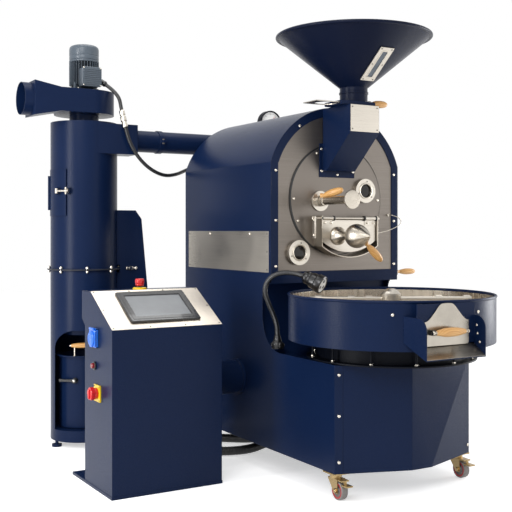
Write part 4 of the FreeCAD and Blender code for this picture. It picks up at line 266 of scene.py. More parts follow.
class Tree:
    # short words for adding and joining the nodes of one material or world
    def __init__(self, name, kind="materials", shader="Principled BSDF"):
        self.owner = getattr(bpy.data, kind).new(name)
        self.owner.use_nodes = True
        self.nodes = self.owner.node_tree.nodes
        self.links = self.owner.node_tree.links
        self.shader = self.nodes[shader]

    def feed(self, socket, source):
        # another node's output is joined to the socket, and anything else is written into it
        if isinstance(source, bpy.types.NodeSocket):
            self.links.new(source, socket)
        else:
            socket.default_value = source

    def add(self, kind, **settings):
        node = self.nodes.new("ShaderNode" + kind)
        for key, setting in settings.items():
            if hasattr(node, key):
                setattr(node, key, setting)
            else:
                self.feed(node.inputs[key.replace("_", " ")], setting)
        return node

    def surface(self, **settings):
        for key, setting in settings.items():
            self.feed(self.shader.inputs[key.replace("_", " ")], setting)

    def where(self, scale=(1, 1, 1), fromLay=False):
        # stretched coordinates: the object's own, or the lay that a new piece carries
        source = (self.add("Attribute", attribute_name="lay").outputs["Vector"] if fromLay
                  else self.add("TexCoord").outputs["Object"])
        return self.add("Mapping", Scale=scale, Vector=source).outputs["Vector"]

    def noise(self, place, scale, detail=2.0, roughness=0.5):
        return self.add("TexNoise", Vector=place, Scale=scale, Detail=detail,
                        Roughness=roughness).outputs["Fac"]

    def maths(self, operation, *terms):
        node = self.add("Math", operation=operation)
        for socket, term in zip(node.inputs, terms):
            self.feed(socket, term)
        return node.outputs[0]

    def spread(self, source, low, high, start=0.3, end=0.7):
        # a number carried from one range to another
        return self.add("MapRange", Value=source, From_Min=start, From_Max=end, To_Min=low,
                        To_Max=high).outputs["Result"]

    def blend(self, factor, first, second):
        mix = self.add("Mix", data_type="RGBA")
        for index, source in ((0, factor), (6, first), (7, second)):
            self.feed(mix.inputs[index], (*source, 1) if isinstance(source, tuple) else source)
        return mix.outputs[2]

    def tones(self, factor, colour, low, high):
        # the colour made darker and lighter by two shares
        dark, light = (tuple(min(1.0, c * by) for c in colour) for by in (low, high))
        return self.blend(factor, dark, light)

    def relief(self, height, strength, depth, edge=0.0):
        bump = self.add("Bump", Height=height, Strength=strength, Distance=depth)
        if edge:
            self.feed(bump.inputs["Normal"], self.add("Bevel", samples=6, Radius=edge).outputs["Normal"])
        self.surface(Normal=bump.outputs["Normal"])


def powderCoat(name, colour, sheen=0.27, grit=0.34, edge=0.0028, gloss=0.1):
    # baked powder: fine grain over a coarser orange peel, and slow shifts of depth
    tree = Tree(name)
    fine = tree.noise(tree.where(), 620, 3.0, 0.6)
    peel = tree.noise(tree.where(), 175)
    slow = tree.noise(tree.where(), 4.0, 3.0)
    tree.surface(Base_Color=tree.tones(slow, colour, 0.88, 1.13), Specular_IOR_Level=gloss,
                 Roughness=tree.spread(fine, sheen - 0.05, sheen + 0.07))
    tree.relief(tree.maths("MULTIPLY_ADD", peel, 2.2, fine), grit, 0.0006, edge)
    return tree.owner


def brushedSteel(name, colour, roughness, lines, fromLay=False, strength=0.12, anisotropy=0.5, edge=0.0009,
                 cloud=4.0, low=0.78, high=1.18):
    # long fine scratches, closest together across the brushing, with slow smears of dullness
    tree = Tree(name)
    streak = tree.noise(tree.where(lines, fromLay), 1.0, 4.0, 0.65)
    smear = tree.noise(tree.where(fromLay=fromLay), cloud)
    tone = tree.spread(tree.maths("MULTIPLY_ADD", smear, 0.6, streak), 0, 1, 0.45, 1.15)
    dull = tree.maths("MULTIPLY_ADD", streak, 0.5, tree.maths("MULTIPLY", smear, 0.5))
    tree.surface(Base_Color=tree.tones(tone, colour, low, high), Metallic=1.0, Anisotropic=anisotropy,
                 Roughness=tree.spread(dull, roughness - 0.07, roughness + 0.09))
    tree.relief(streak, strength, 0.0003, edge)
    return tree.owner


def turnedWood(name, pale, dark):
    # oiled beech: grain drawn out along the grip, darker pores and a few slow rings
    tree = Tree(name)
    grain = tree.noise(tree.where((9, 160, 160), True), 1.0, 4.0, 0.6)
    pores = tree.noise(tree.where((40, 900, 900), True), 1.0, 2.0, 0.7)
    wave = tree.add("TexWave", wave_type="BANDS", bands_direction="Y", Scale=34.0, Distortion=5.0, Detail=2.0,
                    Vector=tree.where((0.35, 1, 1), True))
    rings = tree.maths("MULTIPLY_ADD", wave.outputs["Fac"], 0.35, grain)
    tree.surface(Base_Color=tree.blend(tree.spread(rings, 0, 1, 0.35, 1.0), pale, dark), Coat_Weight=0.25,
                 Coat_Roughness=0.25, Roughness=tree.spread(pores, 0.34, 0.5))
    tree.relief(pores, 0.12, 0.0003)
    return tree.owner


def moulded(name, colour, roughness, grit=0.06, coat=0.0):
    # moulded plastic or rubber: faint mould grain and slow changes of tone
    tree = Tree(name)
    grain = tree.noise(tree.where(), 900)
    slow = tree.noise(tree.where(), 14.0)
    tree.surface(Base_Color=tree.tones(slow, colour, 0.86, 1.12), Coat_Weight=coat,
                 Roughness=tree.spread(grain, roughness - 0.05, roughness + 0.06))
    tree.relief(grain, grit, 0.0004)
    return tree.owner


def castMetal(name, colour, roughness, metallic, grit=0.3):
    # sand-cast skin: one coarse noise in its tone, its sheen and its relief
    tree = Tree(name)
    coarse = tree.noise(tree.where(), 240, 5.0, 0.65)
    tree.surface(Base_Color=tree.tones(coarse, colour, 0.8, 1.2), Metallic=metallic,
                 Roughness=tree.spread(coarse, roughness - 0.08, roughness + 0.1))
    tree.relief(coarse, grit, 0.0006, 0.0008)
    return tree.owner


def smokedGlass(name, colour, roughness):
    # thick dark pane: a thin coat over a nearly black body with faint smoke marks
    tree = Tree(name)
    smoke = tree.noise(tree.where(), 30, 3.0)
    tree.surface(Base_Color=tree.tones(smoke, colour, 0.7, 1.3), Specular_IOR_Level=0.2, Coat_Weight=0.2,
                 Coat_Roughness=0.05, Roughness=tree.spread(smoke, roughness, roughness + 0.05))
    return tree.owner


def twoSteels(name, plain, bright, border):
    # dull brushed steel behind a border across Y, polished steel in front of it
    tree = Tree(name)
    lines = tree.noise(tree.where((5, 5, 1500)), 1.0, 4.0, 0.65)
    spot = tree.add("SeparateXYZ", Vector=tree.add("TexCoord").outputs["Object"])
    front = tree.spread(spot.outputs["Y"], 1.0, 0.0, border - 0.0006, border + 0.0006)
    both = tree.blend(front, tree.tones(lines, plain, 0.86, 1.12), tree.tones(lines, bright, 0.86, 1.1))
    tree.surface(Base_Color=both, Metallic=1.0, Roughness=tree.spread(lines, 0.3, 0.42))
    tree.relief(lines, 0.1, 0.0003, 0.0008)
    return tree.owner


# each finish: how it is made, the record's slot that it stands for, and its settings
alongTurning = dict(fromLay=True, anisotropy=0.0, strength=0.05, lines=(600, 60, 60))
finishTable = {
    "navyCoat": (powderCoat, "navy_powder_coat", dict(colour=(0.0044, 0.0124, 0.044))),
    "hopperCoat": (powderCoat, "navy_powder_coat", dict(colour=(0.0040, 0.0075, 0.024), sheen=0.26)),
    "blackCoat": (powderCoat, "black_steel", dict(
        colour=(0.0025, 0.0035, 0.0075), sheen=0.42, grit=0.1, edge=0.0012)),
    "motorPaint": (powderCoat, "motor_paint", dict(
        colour=(0.078, 0.098, 0.122), sheen=0.3, grit=0.1, edge=0.0016, gloss=0.4)),
    # the motor's paint made nearly black: painted shade for the case seen between the fins
    "motorCore": (powderCoat, "motor_paint", dict(
        colour=(0.012, 0.017, 0.024), sheen=0.4, grit=0.1, edge=0.0008)),
    "plateSteel": (brushedSteel, "brushed_front_plate", dict(
        colour=(0.175, 0.155, 0.137), roughness=0.34, lines=(4, 4, 1500), cloud=1.5, low=0.66, high=1.3)),
    "sheetSteel": (brushedSteel, "brushed_stainless", dict(
        colour=(0.53, 0.49, 0.43), roughness=0.3, lines=(4, 4, 1600))),
    "deskSteel": (brushedSteel, "brushed_stainless", dict(
        colour=(0.73, 0.665, 0.575), roughness=0.42, lines=(5, 1400, 5))),
    "brightSteel": (brushedSteel, "brushed_stainless", dict(
        colour=(0.37, 0.34, 0.295), roughness=0.26, lines=(5, 1400, 5), cloud=9.0, low=0.6, high=1.25)),
    "linerSteel": (brushedSteel, "brushed_stainless", dict(
        colour=(0.60, 0.55, 0.48), roughness=0.25, lines=(60, 60, 0.6), cloud=5.0, low=0.8, high=1.2)),
    "ringSteel": (brushedSteel, "brushed_stainless", dict(
        colour=(0.60, 0.55, 0.475), roughness=0.28, lines=(1400, 6, 6), fromLay=True, strength=0.08)),
    "turnedSteel": (brushedSteel, "brushed_stainless", dict(
        colour=(0.50, 0.455, 0.39), roughness=0.27, lines=(2200, 6, 6), fromLay=True, strength=0.06,
        anisotropy=0.3)),
    "screwSteel": (brushedSteel, "brushed_stainless", dict(
        colour=(0.72, 0.67, 0.59), roughness=0.24, **alongTurning)),
    "darkScrew": (brushedSteel, None, dict(colour=(0.16, 0.145, 0.13), roughness=0.36, **alongTurning)),
    "zincYellow": (brushedSteel, "zinc_yellow", dict(
        colour=(0.38, 0.275, 0.135), roughness=0.26, lines=(300, 300, 300), strength=0.08, anisotropy=0.0,
        edge=0.0007)),
    "castIron": (castMetal, "black_steel", dict(colour=(0.03, 0.028, 0.027), roughness=0.55, metallic=0.6)),
    "coverSteel": (twoSteels, "brushed_front_plate", dict(
        plain=(0.175, 0.155, 0.137), bright=(0.52, 0.475, 0.405), border=-0.1491)),
    "gripWood": (turnedWood, "oiled_wood", dict(pale=(0.74, 0.43, 0.15), dark=(0.52, 0.24, 0.06))),
    "blackPlastic": (moulded, "dark_plastic", dict(
        colour=(0.007, 0.007, 0.008), roughness=0.26, grit=0.08, coat=0.1)),
    "blackRubber": (moulded, "black_rubber", dict(colour=(0.007, 0.007, 0.008), roughness=0.4, grit=0.12)),
    "neckRubber": (moulded, "dark_plastic", dict(
        colour=(0.008, 0.009, 0.011), roughness=0.25, grit=0.05, coat=0.3)),
    "redPlastic": (moulded, "red_plastic", dict(
        colour=(0.56, 0.008, 0.010), roughness=0.28, grit=0.04, coat=0.2)),
    "darkRed": (moulded, "red_plastic", dict(
        colour=(0.20, 0.008, 0.012), roughness=0.2, grit=0.03, coat=0.3)),
    "yellowPlastic": (moulded, "yellow_plastic", dict(
        colour=(0.82, 0.56, 0.01), roughness=0.35, grit=0.05, coat=0.15)),
    "bluePlastic": (moulded, "blue_plastic", dict(
        colour=(0.008, 0.13, 0.62), roughness=0.28, grit=0.05, coat=0.25)),
    "wheelGrey": (moulded, "grey_wheel", dict(colour=(0.20, 0.185, 0.175), roughness=0.45, grit=0.15)),
    "wheelRed": (moulded, None, dict(colour=(0.36, 0.012, 0.016), roughness=0.4, grit=0.08)),
    "whitePlastic": (moulded, None, dict(colour=(0.78, 0.78, 0.76), roughness=0.35, grit=0.03)),
    "darkGlass": (smokedGlass, "clear_glass", dict(colour=(0.012, 0.010, 0.009), roughness=0.05)),
    "hopperGlass": (smokedGlass, "clear_glass", dict(colour=(0.10, 0.12, 0.15), roughness=0.12)),
    "screenGlass": (moulded, None, dict(colour=(0.17, 0.18, 0.19), roughness=0.2, grit=0.0, coat=0.2)),
    "screenBezel": (moulded, None, dict(colour=(0.005, 0.005, 0.006), roughness=0.16, grit=0.03, coat=0.5)),
}
finishes = {name: make(name, **settings) for name, (make, slot, settings) in finishTable.items()}


def dress(obj, finish):
    # one finish on the whole piece
    if obj.material_slots:
        for holder in obj.material_slots:
            holder.material = finishes[finish]
    else:
        obj.data.materials.append(finishes[finish])


nodeFinish = {
    "navyCoat": "side_panel_left side_panel_right roof_shell rear_panel front_frame recess_panel "
                "base_front_panels chassis feed_chute tray_shell tray_chute cooling_blower exhaust_duct "
                "cyclone_body cyclone_stand fan_housing console_cabinet cyclone_door",
    "hopperCoat": "hopper",
    "blackCoat": "tray_plenum drum_drive fan_impeller",
    "castIron": "drum burner",
    "plateSteel": "front_plate",
    "coverSteel": "drum_cover",
    "sheetSteel": "blank_plates front_rings discharge_door door_latch agitator",
    "linerSteel": "tray_liner",
    "deskSteel": "console_top_plate",
    "zincYellow": "castor_fork_left castor_fork_right rear_castor_brackets",
    "yellowPlastic": "yellow_plates",
}
for finish, names in nodeFinish.items():
    for name in names.split():
        dress(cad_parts[name], finish)
print("finishes on the frame")

# screws, each group of them on its own face

desk = {"corner": (-1086, -21, 661), "run": 236, "rise": 137, "lift": 2.0}
deskUp = unit([0, desk["run"], desk["rise"]])
deskOut = np.cross(rightwards, deskUp)
drumHeight = 1190
glassRings = {"sight": (149, -18.0, 1231), "port": (-212, -17.0, 953)}


def deskPoint(across, along, lift):
    # on the console's sloping desk: from its left edge, up the slope, and off it
    return desk["corner"] + across * np.array(rightwards) + along * deskUp + lift * deskOut


screws = {"dome": (6.5, 4.0, 2.3), "small": (3.4, 1.6, 1.3)}  # radius, height, radius of the socket
casingGroups = [  # the fourth row is the feed chute's
    (forwards, [(side * 325, 0, height) for height in (894, 1094, 1311) for side in (-1, 1)]),  # the frame
    (forwards, [(side * 201, 0, 1510) for side in (-1, 1)]),  # its arch
    (forwards, ringOf((0, 2, drumHeight), 231, (0, 180, 62, 118, 205, 335))),  # the drum's cover
    (forwards, [(side * 86, -2, height) for height in (1414, 1316) for side in (-1, 1)] + [(0, -2, 1301)]),
    ((-0.33, -0.944, 0), [(-333, -477.6, height) for height in (150, 330, 490)]),  # left edge of the base
    ((0.33, -0.944, 0), [(338, -476.0, 140)]),  # its right edge
    (leftwards, [(-351.5, y, 1034) for y in (180, 560)]),  # top of the long side plate
]
plateGroups = [  # first the two ends of the long side plate
    (leftwards, [(-351.5, y, height) for y in (29, 778) for height in (879, 957, 1035)]),
    (forwards, [(x, -206.5, height) for x in (-66, 66) for height in (1486, 1581)]),  # the chute's plate
] + [(forwards, ringOf(middle, 43, (80, 200, 320))) for middle in glassRings.values()]
deskGroups = [(deskOut, [deskPoint(x, y, desk["lift"]) for x in (9, 476) for y in (9, 136, 264)]
               + [deskPoint(x, y, desk["lift"]) for x in (165, 320) for y in (9, 264)])]


def domeProfile(radius, height, socket):
    # a rim, a quarter-ellipse dome and a hollow in its top
    a = np.linspace(0, np.pi / 2 * 0.8, 5)
    dome = np.stack([height * (0.25 + 0.75 * np.sin(a) / np.sin(a[-1])), radius * np.cos(a) ** 0.6], 1)
    return np.vstack([[0, 0], [0, radius], dome, [height, socket], [height * 0.45, socket * 0.92],
                      [height * 0.4, 0]])


def screwed(name, finish, groups, shape, sides):
    spots = np.vstack([spots for facing, spots in groups])
    axes = np.vstack([np.broadcast_to(facing, np.shape(spots)) for facing, spots in groups])
    return repeated(name, "roaster", finish, spots, axes, domeProfile(*screws[shape]), sides)


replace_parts(screwed("casingScrews", "screwSteel", casingGroups, "dome", 20), "panel_screws")
screwed("plateScrews", "darkScrew", plateGroups, "small", 14)
screwed("deskScrews", "darkScrew", deskGroups, "small", 14)
print("screws")

# the base's folded front sheets and a painted shadow beside the drum's cover

baseSizes = {"half": 350, "corner": -472, "nose": -577, "noseHalf": 50, "low": 105, "leftTop": 528,
             "noseTop": 507, "rightTop": 506, "wall": 3, "strip": 35}
# sizes of the black crescent that paints the shadow at the edge of the drum's cover
coverShadowSizes = {"outer": 251.2, "inner": 246.6, "shift": 4.4, "wall": 1.0, "front": 0.3}


def baseSheet(name, corners, triangles, crease=35):
    # flat corners given a wall towards the back; the rim runs round them in order
    front = np.asarray(corners, float)
    points = np.stack([front, front + [0, baseSizes["wall"], 0]])
    count = len(front)
    order = np.arange(count)
    rim = np.stack([order, np.roll(order, -1), np.roll(order, -1) + count, order + count], 1)
    ends = [tuple(t) for t in triangles] + [tuple(k + count for k in t[::-1]) for t in triangles]
    return piece(name, "roaster", "navyCoat", place(points), rim, None, crease, ends)


def baseFront():
    # left of the nose one flat sheet; right of it a bent one, smooth over its middle, and a triangle
    b = baseSizes
    left, nose = np.array([-b["half"], b["corner"]], float), np.array([-b["noseHalf"], b["nose"]], float)
    share = b["strip"] / np.linalg.norm(nose - left)
    start = left + (nose - left) * share
    startTop = b["leftTop"] + (b["noseTop"] - b["leftTop"]) * share
    corners = [(*start, b["low"]), (*nose, b["low"]), (*nose, b["noseTop"]), (*start, startTop)]
    flat = baseSheet("baseLeft", corners, [(0, 1, 2, 3)])
    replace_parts(flat, "base_front_panels")
    fold = (b["noseHalf"], b["nose"], b["low"])
    right = (b["half"] - b["wall"], b["corner"])
    baseSheet("baseMiddle", [(*nose, b["low"]), fold, (*right, b["rightTop"]), (*nose, b["noseTop"])],
              [(0, 1, 3), (1, 2, 3)], 40)
    baseSheet("baseRight", [fold, (*right, b["low"]), (*right, b["rightTop"])], [(0, 1, 2)])


def coverShadowCrescent():
    # painted shadow: a dark crescent, a circle of the cover's size inside one that is shifted to the left, so
    # that shade seems to lie along the cover's left edge
    k = coverShadowSizes
    ring = circle(160)
    # a thin black sheet in the rubber finish that paints the shade at the cover's edge
    slab("coverShadowCrescent", "roaster", "blackRubber", (0, k["front"], drumHeight), *frontFace,
         ring * k["outer"] - [k["shift"], 0], k["wall"], 0.2, inner=ring * k["inner"])


baseFront()
coverShadowCrescent()
print("base sheets and seal")

# hopper window and sight glasses

hopper = {"y": -125, "throat": 58, "throatHeight": 1670, "rim": 336, "rimHeight": 1895}
window = {"width": 26, "length": 141, "corner": 3, "rise": 86, "paneLift": 1.2, "beadLift": 4.5, "bead": 4}
coneUp = unit([0, hopper["throat"] - hopper["rim"], hopper["rimHeight"] - hopper["throatHeight"]])
coneOut = np.cross(rightwards, coneUp)
windowMiddle = (np.array([0, hopper["y"] - hopper["throat"], hopper["throatHeight"]])
                + coneUp * window["rise"] / coneUp[2])


def glasses():
    w = window
    opening = roundedRectangle(w["width"], w["length"], w["corner"])
    pane = slab("hopperPane", "roaster", "hopperGlass", windowMiddle + coneOut * w["paneLift"],
                rightwards, coneUp, opening, 2.4, 0.4)
    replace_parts(pane, "window_glasses")
    front = windowMiddle + coneOut * w["beadLift"]
    bead = roundedRectangle(w["width"] + 2 * w["bead"], w["length"] + 2 * w["bead"], 2 * w["corner"])
    slab("hopperPaneBead", "roaster", "sheetSteel", front, rightwards, coneUp, bead, 1.2, 0.4, inner=opening)
    spots = [front + np.multiply(rightwards, x) + coneUp * y for x in (-26, 26) for y in (-84, 0, 84)]
    repeated("windowScrews", "roaster", "darkScrew", spots, coneOut, domeProfile(*screws["small"]), 14)
    for tag, (x, y, z) in glassRings.items():
        turned(tag + "Glass", "roaster", "darkGlass", (x, y + 12, z), forwards,
               eased([(0, 0), (0, 29.9), (5, 29.9), (6.2, 28), (7.4, 14), (7.8, 0)], 1.0), 48)
        turned(tag + "Lip", "roaster", "ringSteel", (x, y, z), forwards,
               [(-2, 30), (0.2, 30), (2.4, 31.5), (3.2, 34), (2.4, 36.5), (0.1, 37.5), (-2, 37.5)], 56, True)


glasses()
print("glasses")


# wooden grips, each with the steel that it is screwed to

def grip(name, body, at, axis, length, bulge, flare):
    # a small flare at the ferrule, a neck, a long belly and a rounded end
    s = np.array([0.001, 0.05, 0.13, 0.24, 0.42, 0.62, 0.8, 0.92, 0.98, 1.0]) * length
    r = np.concatenate([np.array([1, 0.92, 0.66]) * flare,
                        np.array([0.72, 0.94, 1, 0.9, 0.68, 0.38, 0]) * bulge])
    profile = np.vstack([[0, 0], np.maximum(flowing(np.stack([s, r], 1), 5), 0)])
    return turned(name, body, "gripWood", at, axis, profile, 40, crease=70)


trierSizes = {"x": -93, "z": 1181, "tube": 17.5, "wall": 3, "collar": 23.5, "reach": 235, "disc": 40,
              "discWall": 8, "spoon": 130, "gripFrom": (-106, -30, 1202), "gripAim": (0.42, -0.87, 0.24)}


def trier():
    # a tube with a collar and an end disc in front, and a half tube as the spoon behind
    t = trierSizes
    end = t["reach"] + t["discWall"]
    steel = turned("trierTube", "trier", "turnedSteel", (t["x"], 0, t["z"]), forwards, eased(
        [(-8, 0), (-8, t["tube"]), (17.6, t["tube"]), (18, t["collar"]), (42, t["collar"]), (42.4, t["tube"]),
         (t["reach"] - 0.5, t["tube"]), (t["reach"], t["disc"]), (end, t["disc"]), (end, 0)], 1.4), 56)
    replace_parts(steel, "trier")
    arc = circle(25, np.pi, 2 * np.pi, True)
    half = np.vstack([arc * t["tube"], arc[::-1] * (t["tube"] - t["wall"])])
    slab("trierSpoon", "trier", "turnedSteel", (t["x"], 7, t["z"]), leftwards, upwards, half, t["spoon"], 0.3)
    grip("trierGrip", "trier", t["gripFrom"], t["gripAim"], 112, 16.5, 13)


lockSizes = {"x": -31, "z": 1026, "front": -50.3, "gripY": -208, "gripLean": -42, "gripFrom": 36}
lockProfile = [(0, 38), (2, 40.5), (6, 40.5), (12, 35), (22, 28), (36, 21.5), (52, 16), (68, 13.5),
               (77, 15.5), (88, 25), (102, 38), (118, 48), (134, 52), (150, 51), (166, 45.5), (184, 36),
               (202, 24.5), (218, 13.5), (229, 6.5), (234.7, 3)]


def doorLock():
    # a turned foot, a thin waist and a pointed belly; the grip leans out of the belly's side
    k = lockSizes
    steel = turned("lockWeight", "door_lock", "turnedSteel", (k["x"], k["front"], k["z"]), forwards,
                   bellied(lockProfile, 4), 72)
    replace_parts(steel, "door_lock")
    lean = math.radians(k["gripLean"])
    aim = np.array([math.cos(lean), 0, math.sin(lean)])
    start = np.array([k["x"], k["gripY"], k["z"]]) + aim * k["gripFrom"]
    turned("lockFerrule", "door_lock", "turnedSteel", start - aim * 10, aim,
           eased([(0, 0), (0, 9), (14, 9), (16, 11), (20, 11), (20, 0)], 0.8), 28)
    grip("lockGrip", "door_lock", start + aim * 8, aim, 120, 17, 11.5)


gateSizes = {"left": -231, "right": 75, "half": 52, "hole": 48, "holeX": -150, "z": 1598, "wall": 4}


def slideGate():
    # the plate's rim lies where rays from the hole's middle leave the rectangle
    g = gateSizes
    y = hopper["y"]
    toRight, toLeft = g["right"] - g["holeX"], g["holeX"] - g["left"]
    corners = [math.atan2(side, across) for across in (toRight, -toLeft) for side in (-g["half"], g["half"])]
    a = np.sort(np.concatenate([np.linspace(-np.pi, np.pi, 96, endpoint=False), corners]))
    side = np.where(np.cos(a) > 0, toRight, toLeft) / np.maximum(np.abs(np.cos(a)), 1e-6)
    far = np.minimum(side, g["half"] / np.maximum(np.abs(np.sin(a)), 1e-6))
    ray = np.stack([np.cos(a), np.sin(a)], 1)
    plate = slab("gatePlate", "slide_gate", "sheetSteel", (g["holeX"], y, g["z"]), rightwards, backwards,
                 ray * far[:, None], g["wall"], 0.5, inner=ray * g["hole"])
    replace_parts(plate, "slide_gate")
    slab("gateBlock", "slide_gate", "turnedSteel", (g["right"], y, g["z"] + 12), backwards, upwards,
         roundedRectangle(30, 24, 4), 12, 1.2)
    grip("gateGrip", "slide_gate", (g["right"] + 11, y, g["z"] + 14), (1, 0, 0.02), 99, 16.5, 11)


rodSizes = {"x": 275, "y": 60, "z": 853, "radius": 8, "gripFrom": 390, "gripLength": 113}


def airRod():
    # a collar at the casing, a thin rod and a ferrule
    r = rodSizes
    long = r["gripFrom"] - r["x"]
    steel = turned("airRod", "air_rod", "turnedSteel", (r["x"], r["y"], r["z"]), rightwards, eased(
        [(0, 0), (0, 14), (8, 14), (8.2, r["radius"]), (long - 5, r["radius"]), (long - 4, 10.5),
         (long + 3, 10.5), (long + 3, 0)], 0.8), 32)
    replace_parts(steel, "air_rod")
    grip("airRodGrip", "air_rod", (r["gripFrom"] + 2, r["y"], r["z"]), rightwards, r["gripLength"], 14.5, 10)


traySizes = {"y": -381, "radius": 425, "gateLeft": -195, "gateRight": 21, "gateLow": 626, "gateTop": 782,
             "shoulder": 716, "crown": 7, "gateY": -812, "gripX": -184, "gripY": -846, "gripZ": 678,
             "frameLeft": -227, "frameRight": 56, "frameLow": 629, "frameHigh": 781, "frameY": -807.4}
trayRod = [(0, 0), (0, 6), (3, 8.5), (6, 8.5), (6, 5), (14, 5), (14.5, 8), (20, 8), (20, 5), (155, 5),
           (155, 8), (160.5, 8), (161, 5), (169, 5), (169, 8.5), (173, 8.5), (176, 6), (177, 0)]
trayGrip = [(0, 8.5), (8, 9.5), (22, 12.5), (44, 16), (70, 17), (98, 16), (122, 12.5), (136, 9.5), (141, 8.5)]


def trayGate():
    # a bell: flat shoulders that sweep up to a round top, h = shoulder + rise * (1 - smoothstep(|u|))
    g = traySizes
    half, frameHalf = (g["gateRight"] - g["gateLeft"]) / 2, (g["frameRight"] - g["frameLeft"]) / 2
    middle, frameMiddle = (g["gateRight"] + g["gateLeft"]) / 2, (g["frameRight"] + g["frameLeft"]) / 2
    u = np.linspace(1, -1, 73)
    k = np.clip((np.abs(u) - 0.2) / (0.98 - 0.2), 0, 1)
    crown = g["crown"] * (1 - (u / 0.5) ** 2) * (np.abs(u) < 0.5)
    top = g["shoulder"] + (g["gateTop"] - g["crown"] - g["shoulder"]) * (1 - k * k * (3 - 2 * k)) + crown

    def footed(half, low, chamfer, top):
        # the line of the top with a level foot below it
        return np.vstack([[(-half + chamfer, low), (half - chamfer, low), (half, low + 4)],
                          np.stack([u * half, top], 1), [(-half, low + 4)]])

    bell = footed(half, g["gateLow"], 4, top)
    opening = bell * [0.93, 1] - [frameMiddle - middle, 8]
    opening[[0, 1, 2, -1], 1] += 24
    slab("gateFrame", "roaster", "navyCoat", (frameMiddle, g["frameY"], 0), *frontFace,
         footed(frameHalf, g["frameLow"], 0, np.full(len(u), g["frameHigh"])), 3.4, 0.4, inner=opening)
    plate = slab("trayGatePlate", "tray_gate", "brightSteel", (middle, g["gateY"], 0), *frontFace,
                 bell, 4, 0.6)
    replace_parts(plate, "tray_gate")
    for tag, x, height, finish in (("Left", -178, 20, "blackPlastic"), ("Right", -23, 15, "turnedSteel")):
        slab("trayGatePost" + tag, "tray_gate", finish, (x, -831, g["gripZ"]), backwards, upwards,
             roundedRectangle(34, height, 6), 8, 1.0)
    turned("trayGateRod", "tray_gate", "turnedSteel", (g["gripX"], g["gripY"], g["gripZ"]), rightwards,
           eased(trayRod, 0.8), 28)
    turned("trayGateGrip", "tray_gate", "gripWood", (g["gripX"] + 17, g["gripY"], g["gripZ"]), rightwards,
           bellied(trayGrip), 44, crease=60)


cyclone = {"x": -832, "y": 991, "radius": 163.5}


def outward(angle):
    # a level direction, counted from the front towards the left
    a = np.radians(angle)
    return np.stack([-np.sin(a), -np.cos(a), np.zeros_like(a)], -1)


def onCyclone(radius, angle, z):
    return np.array([cyclone["x"], cyclone["y"], z]) + outward(angle) * radius


binSizes = {"radius": 121, "wall": 3, "low": 85.3, "top": 442, "flange": 138, "heading": 19, "gripReach": 112,
            "post": 46, "gripLift": 50, "clampAt": 40, "clampZ": 323, "lever": 78}
binGrip = [(0, 6), (6, 8), (18, 10.5), (42, 12.6), (64, 13), (86, 12.6), (110, 10.5), (122, 8), (128, 6)]


def chaffBin():
    # an open can with a rolled rim, and a grip on two posts
    b = binSizes
    wall = b["radius"] - b["wall"]
    can = turned("binCan", "chaff_bin", "navyCoat", (cyclone["x"], cyclone["y"], 0), upwards, eased(
        [(b["low"] + 3, 0), (b["low"] + 3, wall), (b["top"] - 1, wall), (b["top"], b["radius"] + 2),
         (b["top"], b["flange"]), (b["top"] - 6, b["flange"]), (b["top"] - 6, b["radius"]),
         (b["low"] + 8, b["radius"]), (b["low"], b["radius"] - 6), (b["low"], 0)], 1.2), 96)
    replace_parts(can, "chaff_bin")
    out = outward(b["heading"])
    across = np.array([-out[1], out[0], 0])
    middle = onCyclone(b["gripReach"], b["heading"], 0)
    posts = [middle + across * side * b["post"] + [0, 0, b["top"] - 4] for side in (-1, 1)]
    repeated("binPosts", "chaff_bin", "turnedSteel", posts, upwards,
             eased([(0, 0), (0, 9), (6, 9), (7, 5), (48, 5), (49, 0)], 0.8), 20)
    start = middle - across * binGrip[-1][0] / 2 + [0, 0, b["top"] + b["gripLift"]]
    turned("binGrip", "chaff_bin", "gripWood", start, across, bellied(binGrip), 36, crease=60)
    repeated("binGripEnds", "chaff_bin", "turnedSteel", [start - across * 7, start + across * 135],
             [across, -across], eased([(0, 0), (1, 4), (7.5, 6.5), (9, 0)], 0.8), 20)


def binClamp():
    # a round boss and a lever that narrows towards its end
    b = binSizes
    out = outward(b["clampAt"])
    base = onCyclone(b["radius"] + 0.3, b["clampAt"], b["clampZ"])
    boss = turned("clampBoss", "bin_clamp", "blackPlastic", base, out,
                  eased([(0, 0), (0, 14), (3, 14), (5, 11.5), (17, 13), (21, 11), (22, 0)], 1.2), 32)
    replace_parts(boss, "bin_clamp")
    u = np.linspace(0, 1, 14)
    upper = np.stack([u * b["lever"], 9.5 - 2.1 * np.sin(np.pi * u) - 1.5 * u], 1)
    outline = np.vstack([upper, [(b["lever"] + 3, 4), (b["lever"] + 3, -4)], upper[::-1] * [1, -1],
                         [(-9, -6), (-11, 0), (-9, 6)]])
    slab("clampLever", "bin_clamp", "blackPlastic", base + out * 12.5, [out[1], -out[0], 0], upwards,
         outline, 11, 2.4)
    turned("clampScrew", "bin_clamp", "screwSteel", base + out * 21, out, domeProfile(6, 3, 2.4), 20)


trier()
doorLock()
slideGate()
airRod()
trayGate()
chaffBin()
binClamp()
print("grips and what they move")

# what the discharge door hangs on, and the wire of the probe beside it

hinge = {"y": -52, "z": 1104, "bushes": (-121, -56, 113, 178), "bolts": (-104, -70, 130, 164), "boltZ": 1084,
         "block": -163, "blockHeights": (1096, 1030), "pinEnds": (182, -165)}
probe = {"wire": 1.7, "nut": (292, 3, 1122), "seat": (184.6, -44.3, 1036), "seatAim": (1, -0.1, 0.1)}
probeRoute = [(292, 5, 1122), (292, -12, 1122), (301, -27, 1119), (328, -31, 1110), (344, -31, 1094),
              (336, -32, 1078), (300, -34, 1061), (246, -38, 1046), (186, -44, 1036)]


